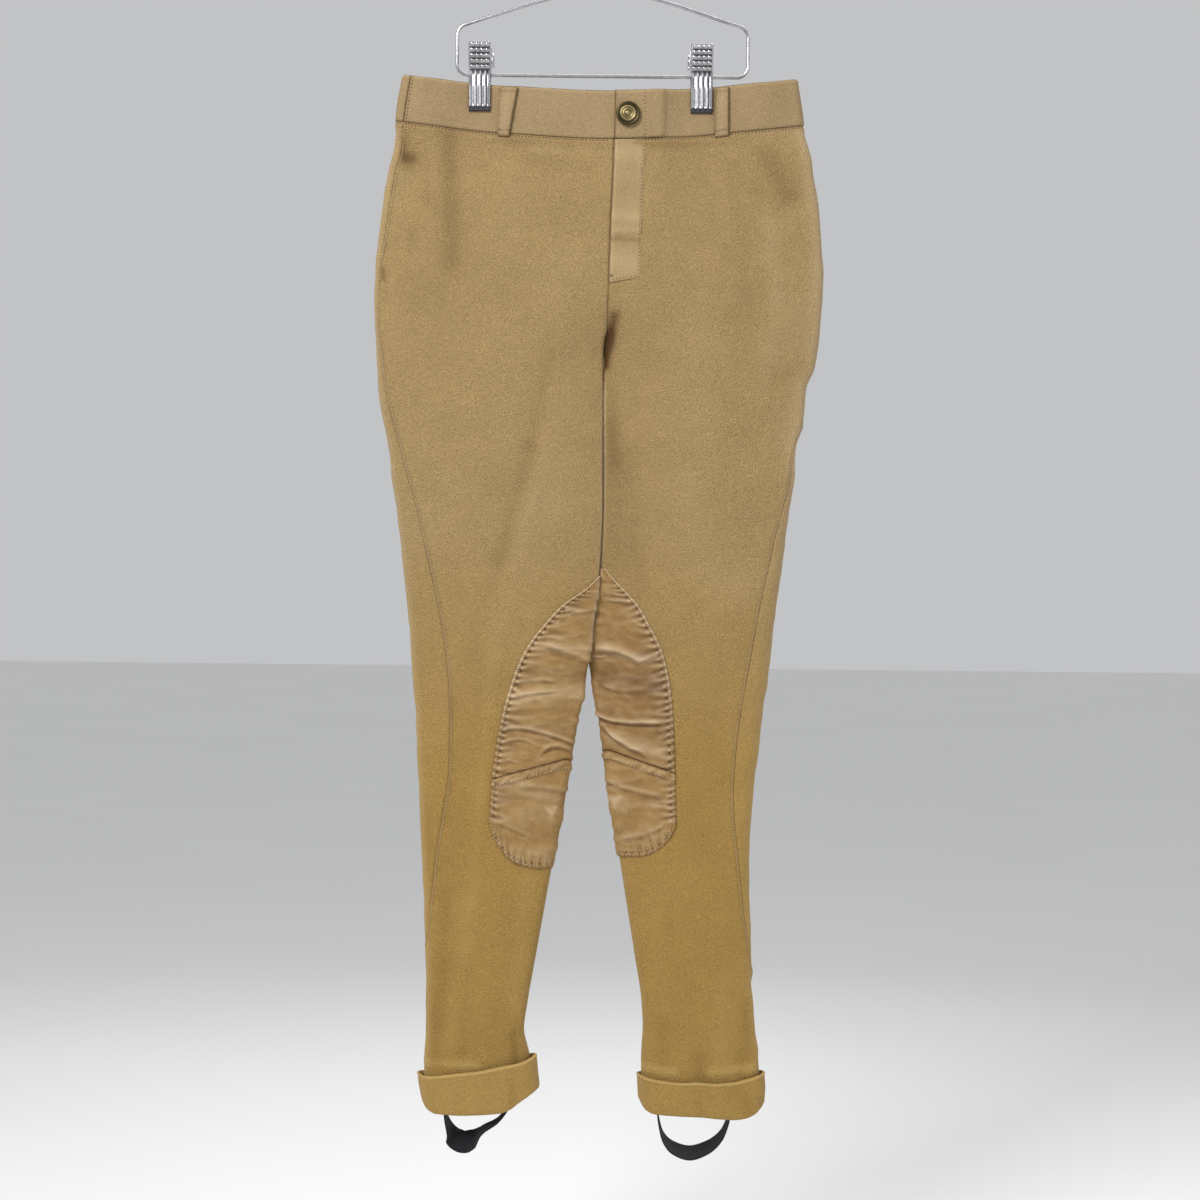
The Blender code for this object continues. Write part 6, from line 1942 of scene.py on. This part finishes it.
class BreechesSizes(bpy.types.PropertyGroup):
    """Working sizes of the pieces, the stitches and the stage."""

    panel_rows: IntProperty(name="Panel rows", description="Rows of points down a panel", default=320)
    panel_columns: IntProperty(name="Panel columns", description="Columns in a panel's middle", default=52)
    cloth: size_property("Cloth", "Thickness of the stretch knit", 0.0014)
    band_step: size_property("Band step", "Spacing of points along the waistband", 0.0013)
    patch_step: size_property("Patch step", "Spacing of rows down a knee patch", 0.00095)
    strap_width: size_property("Strap width", "Width of a foot strap's elastic", 0.019)
    strap_cloth: size_property("Strap cloth", "Thickness of a foot strap's elastic", 0.0013)
    wire: size_property("Wire", "Thickness of the hanger's wire", 0.003)
    spring_wire: size_property("Spring wire", "Thickness of a clip's spring wire", 0.0016)
    key_light: size_property("Key light", "Strength of the main light", 15.6, "POWER")
    fill_light: size_property("Fill light", "Strength of the fill light", 5.2, "POWER")
    rim_light: size_property("Rim light", "Strength of the light from behind", 9.0, "POWER")
    world_light: size_property("World light", "Strength of the pale surroundings", 0.58, "NONE")
    floor_size: size_property("Floor", "Length of the floor's sides", 40.0)
    floor_drop: size_property("Floor drop", "Depth of the floor below the hanger's bar", 1.085)
    lens: size_property("Lens", "Focal length in millimetres on a 36 mm sensor", 69.8, "NONE")
    roll: size_property("Roll", "Roll of the camera in degrees", -0.6, "NONE")


def colour_property(name, description, default):
    return FloatVectorProperty(name=name, description=description, size=4, subtype="COLOR",
                               default=(*default, 1.0), min=0.0, max=1.0)


class BreechesColours(bpy.types.PropertyGroup):
    """Base colours of the finishes, linear."""

    knit: colour_property("Knit", "Brushed knit at the waist", (0.348, 0.236, 0.105))
    knit_low: colour_property("Lower knit", "Brushed knit near the hems", (0.345, 0.214, 0.063))
    band: colour_property("Band", "Waistband cloth", (0.325, 0.229, 0.122))
    placket: colour_property("Placket", "Strip beside the opening", (0.352, 0.250, 0.126))
    patch: colour_property("Patch", "Knee patch cotton", (0.300, 0.180, 0.064))
    thread: colour_property("Thread", "Sewing thread", (0.40, 0.285, 0.135))
    # Painted shade: the thread colour of the needle holes and of stitches sunk in a seam
    dark_thread: colour_property("Shaded thread", "Sewing thread sunk in a seam", (0.12, 0.07, 0.03))
    elastic: colour_property("Elastic", "Foot strap elastic", (0.010, 0.011, 0.013))
    brass: colour_property("Brass", "Waist button", (0.21, 0.16, 0.075))
    chrome: colour_property("Chrome", "Hanger and clips", (0.58, 0.58, 0.60))
    rubber: colour_property("Rubber", "Clip grips", (0.014, 0.014, 0.018))
    floor: colour_property("Floor", "Studio floor", (0.86, 0.86, 0.85))


class BREECHES_OT_panels(bpy.types.Operator):
    """Make the front and back panels of both legs"""

    bl_idname = "breeches.panels"
    bl_label = "Panels"

    def execute(self, context):
        for leg in LEGS.values():
            for back in (False, True):
                make_panel(leg, back, context.scene.breeches_sizes)
        return {"FINISHED"}


class BREECHES_OT_waist(bpy.types.Operator):
    """Make the waistband, fly placket, belt loops and button"""

    bl_idname = "breeches.waist"
    bl_label = "Waist"

    def execute(self, context):
        make_waistband(context.scene.breeches_sizes)
        make_placket()
        for loop, places in BELT_LOOPS.items():
            make_belt_loop(loop, *places)
        make_button()
        return {"FINISHED"}


class BREECHES_OT_patches(bpy.types.Operator):
    """Make the knee patches"""

    bl_idname = "breeches.patches"
    bl_label = "Knee patches"

    def execute(self, context):
        for leg in LEGS.values():
            sheet = PatchSheet(leg)
            for upper in (True, False):
                patch_piece(sheet, upper, context.scene.breeches_sizes.patch_step / MM)
        return {"FINISHED"}


class BREECHES_OT_hems(bpy.types.Operator):
    """Make the turn-ups and the foot straps"""

    bl_idname = "breeches.hems"
    bl_label = "Turn-ups and straps"

    def execute(self, context):
        for leg in LEGS.values():
            make_cuff(leg)
            make_strap(leg, context.scene.breeches_sizes)
        return {"FINISHED"}


class BREECHES_OT_hanger(bpy.types.Operator):
    """Make the wire hanger and its clips"""

    bl_idname = "breeches.hanger"
    bl_label = "Hanger and clips"

    def execute(self, context):
        sizes = context.scene.breeches_sizes
        make_hanger(sizes.wire)
        for side in CLIP_CENTRES:
            for face in (-1.0, 1.0):
                make_jaw(side, face)
            for face in (-1.0, 1.0):
                make_grip(side, face)
            make_sleeve(side)
            make_spring(side, sizes.spring_wire)
        return {"FINISHED"}


class BREECHES_OT_stitching(bpy.types.Operator):
    """Lay the stitches along the seams and edges"""

    bl_idname = "breeches.stitching"
    bl_label = "Stitching"

    def execute(self, context):
        make_stitching()
        return {"FINISHED"}


class BREECHES_OT_stage(bpy.types.Operator):
    """Make the floor, lights and camera"""

    bl_idname = "breeches.stage"
    bl_label = "Stage"

    def execute(self, context):
        make_stage(context.scene.breeches_sizes)
        return {"FINISHED"}


class BREECHES_PT_panel(bpy.types.Panel):
    """Buttons for making the breeches, in the 3D view's sidebar"""

    bl_label = "Riding Breeches"
    bl_space_type = "VIEW_3D"
    bl_region_type = "UI"
    bl_category = "Breeches"

    def draw(self, context):
        for operator in OPERATORS:
            self.layout.operator(operator.bl_idname)


OPERATORS = (
    BREECHES_OT_panels,
    BREECHES_OT_waist,
    BREECHES_OT_patches,
    BREECHES_OT_hems,
    BREECHES_OT_hanger,
    BREECHES_OT_stitching,
    BREECHES_OT_stage,
)
CLASSES = (BreechesSizes, BreechesColours, *OPERATORS, BREECHES_PT_panel)


def register():
    for cls in CLASSES:
        bpy.utils.register_class(cls)
    bpy.types.Scene.breeches_sizes = PointerProperty(type=BreechesSizes)
    bpy.types.Scene.breeches_colours = PointerProperty(type=BreechesColours)


def unregister():
    del bpy.types.Scene.breeches_colours
    del bpy.types.Scene.breeches_sizes
    for cls in reversed(CLASSES):
        bpy.utils.unregister_class(cls)


def main():
    """Register the add-on, then make every piece and the stage."""
    register()
    bpy.ops.breeches.panels()
    bpy.ops.breeches.waist()
    bpy.ops.breeches.patches()
    bpy.ops.breeches.hems()
    bpy.ops.breeches.hanger()
    bpy.ops.breeches.stitching()
    bpy.ops.breeches.stage()


if __name__ == "__main__":
    main()
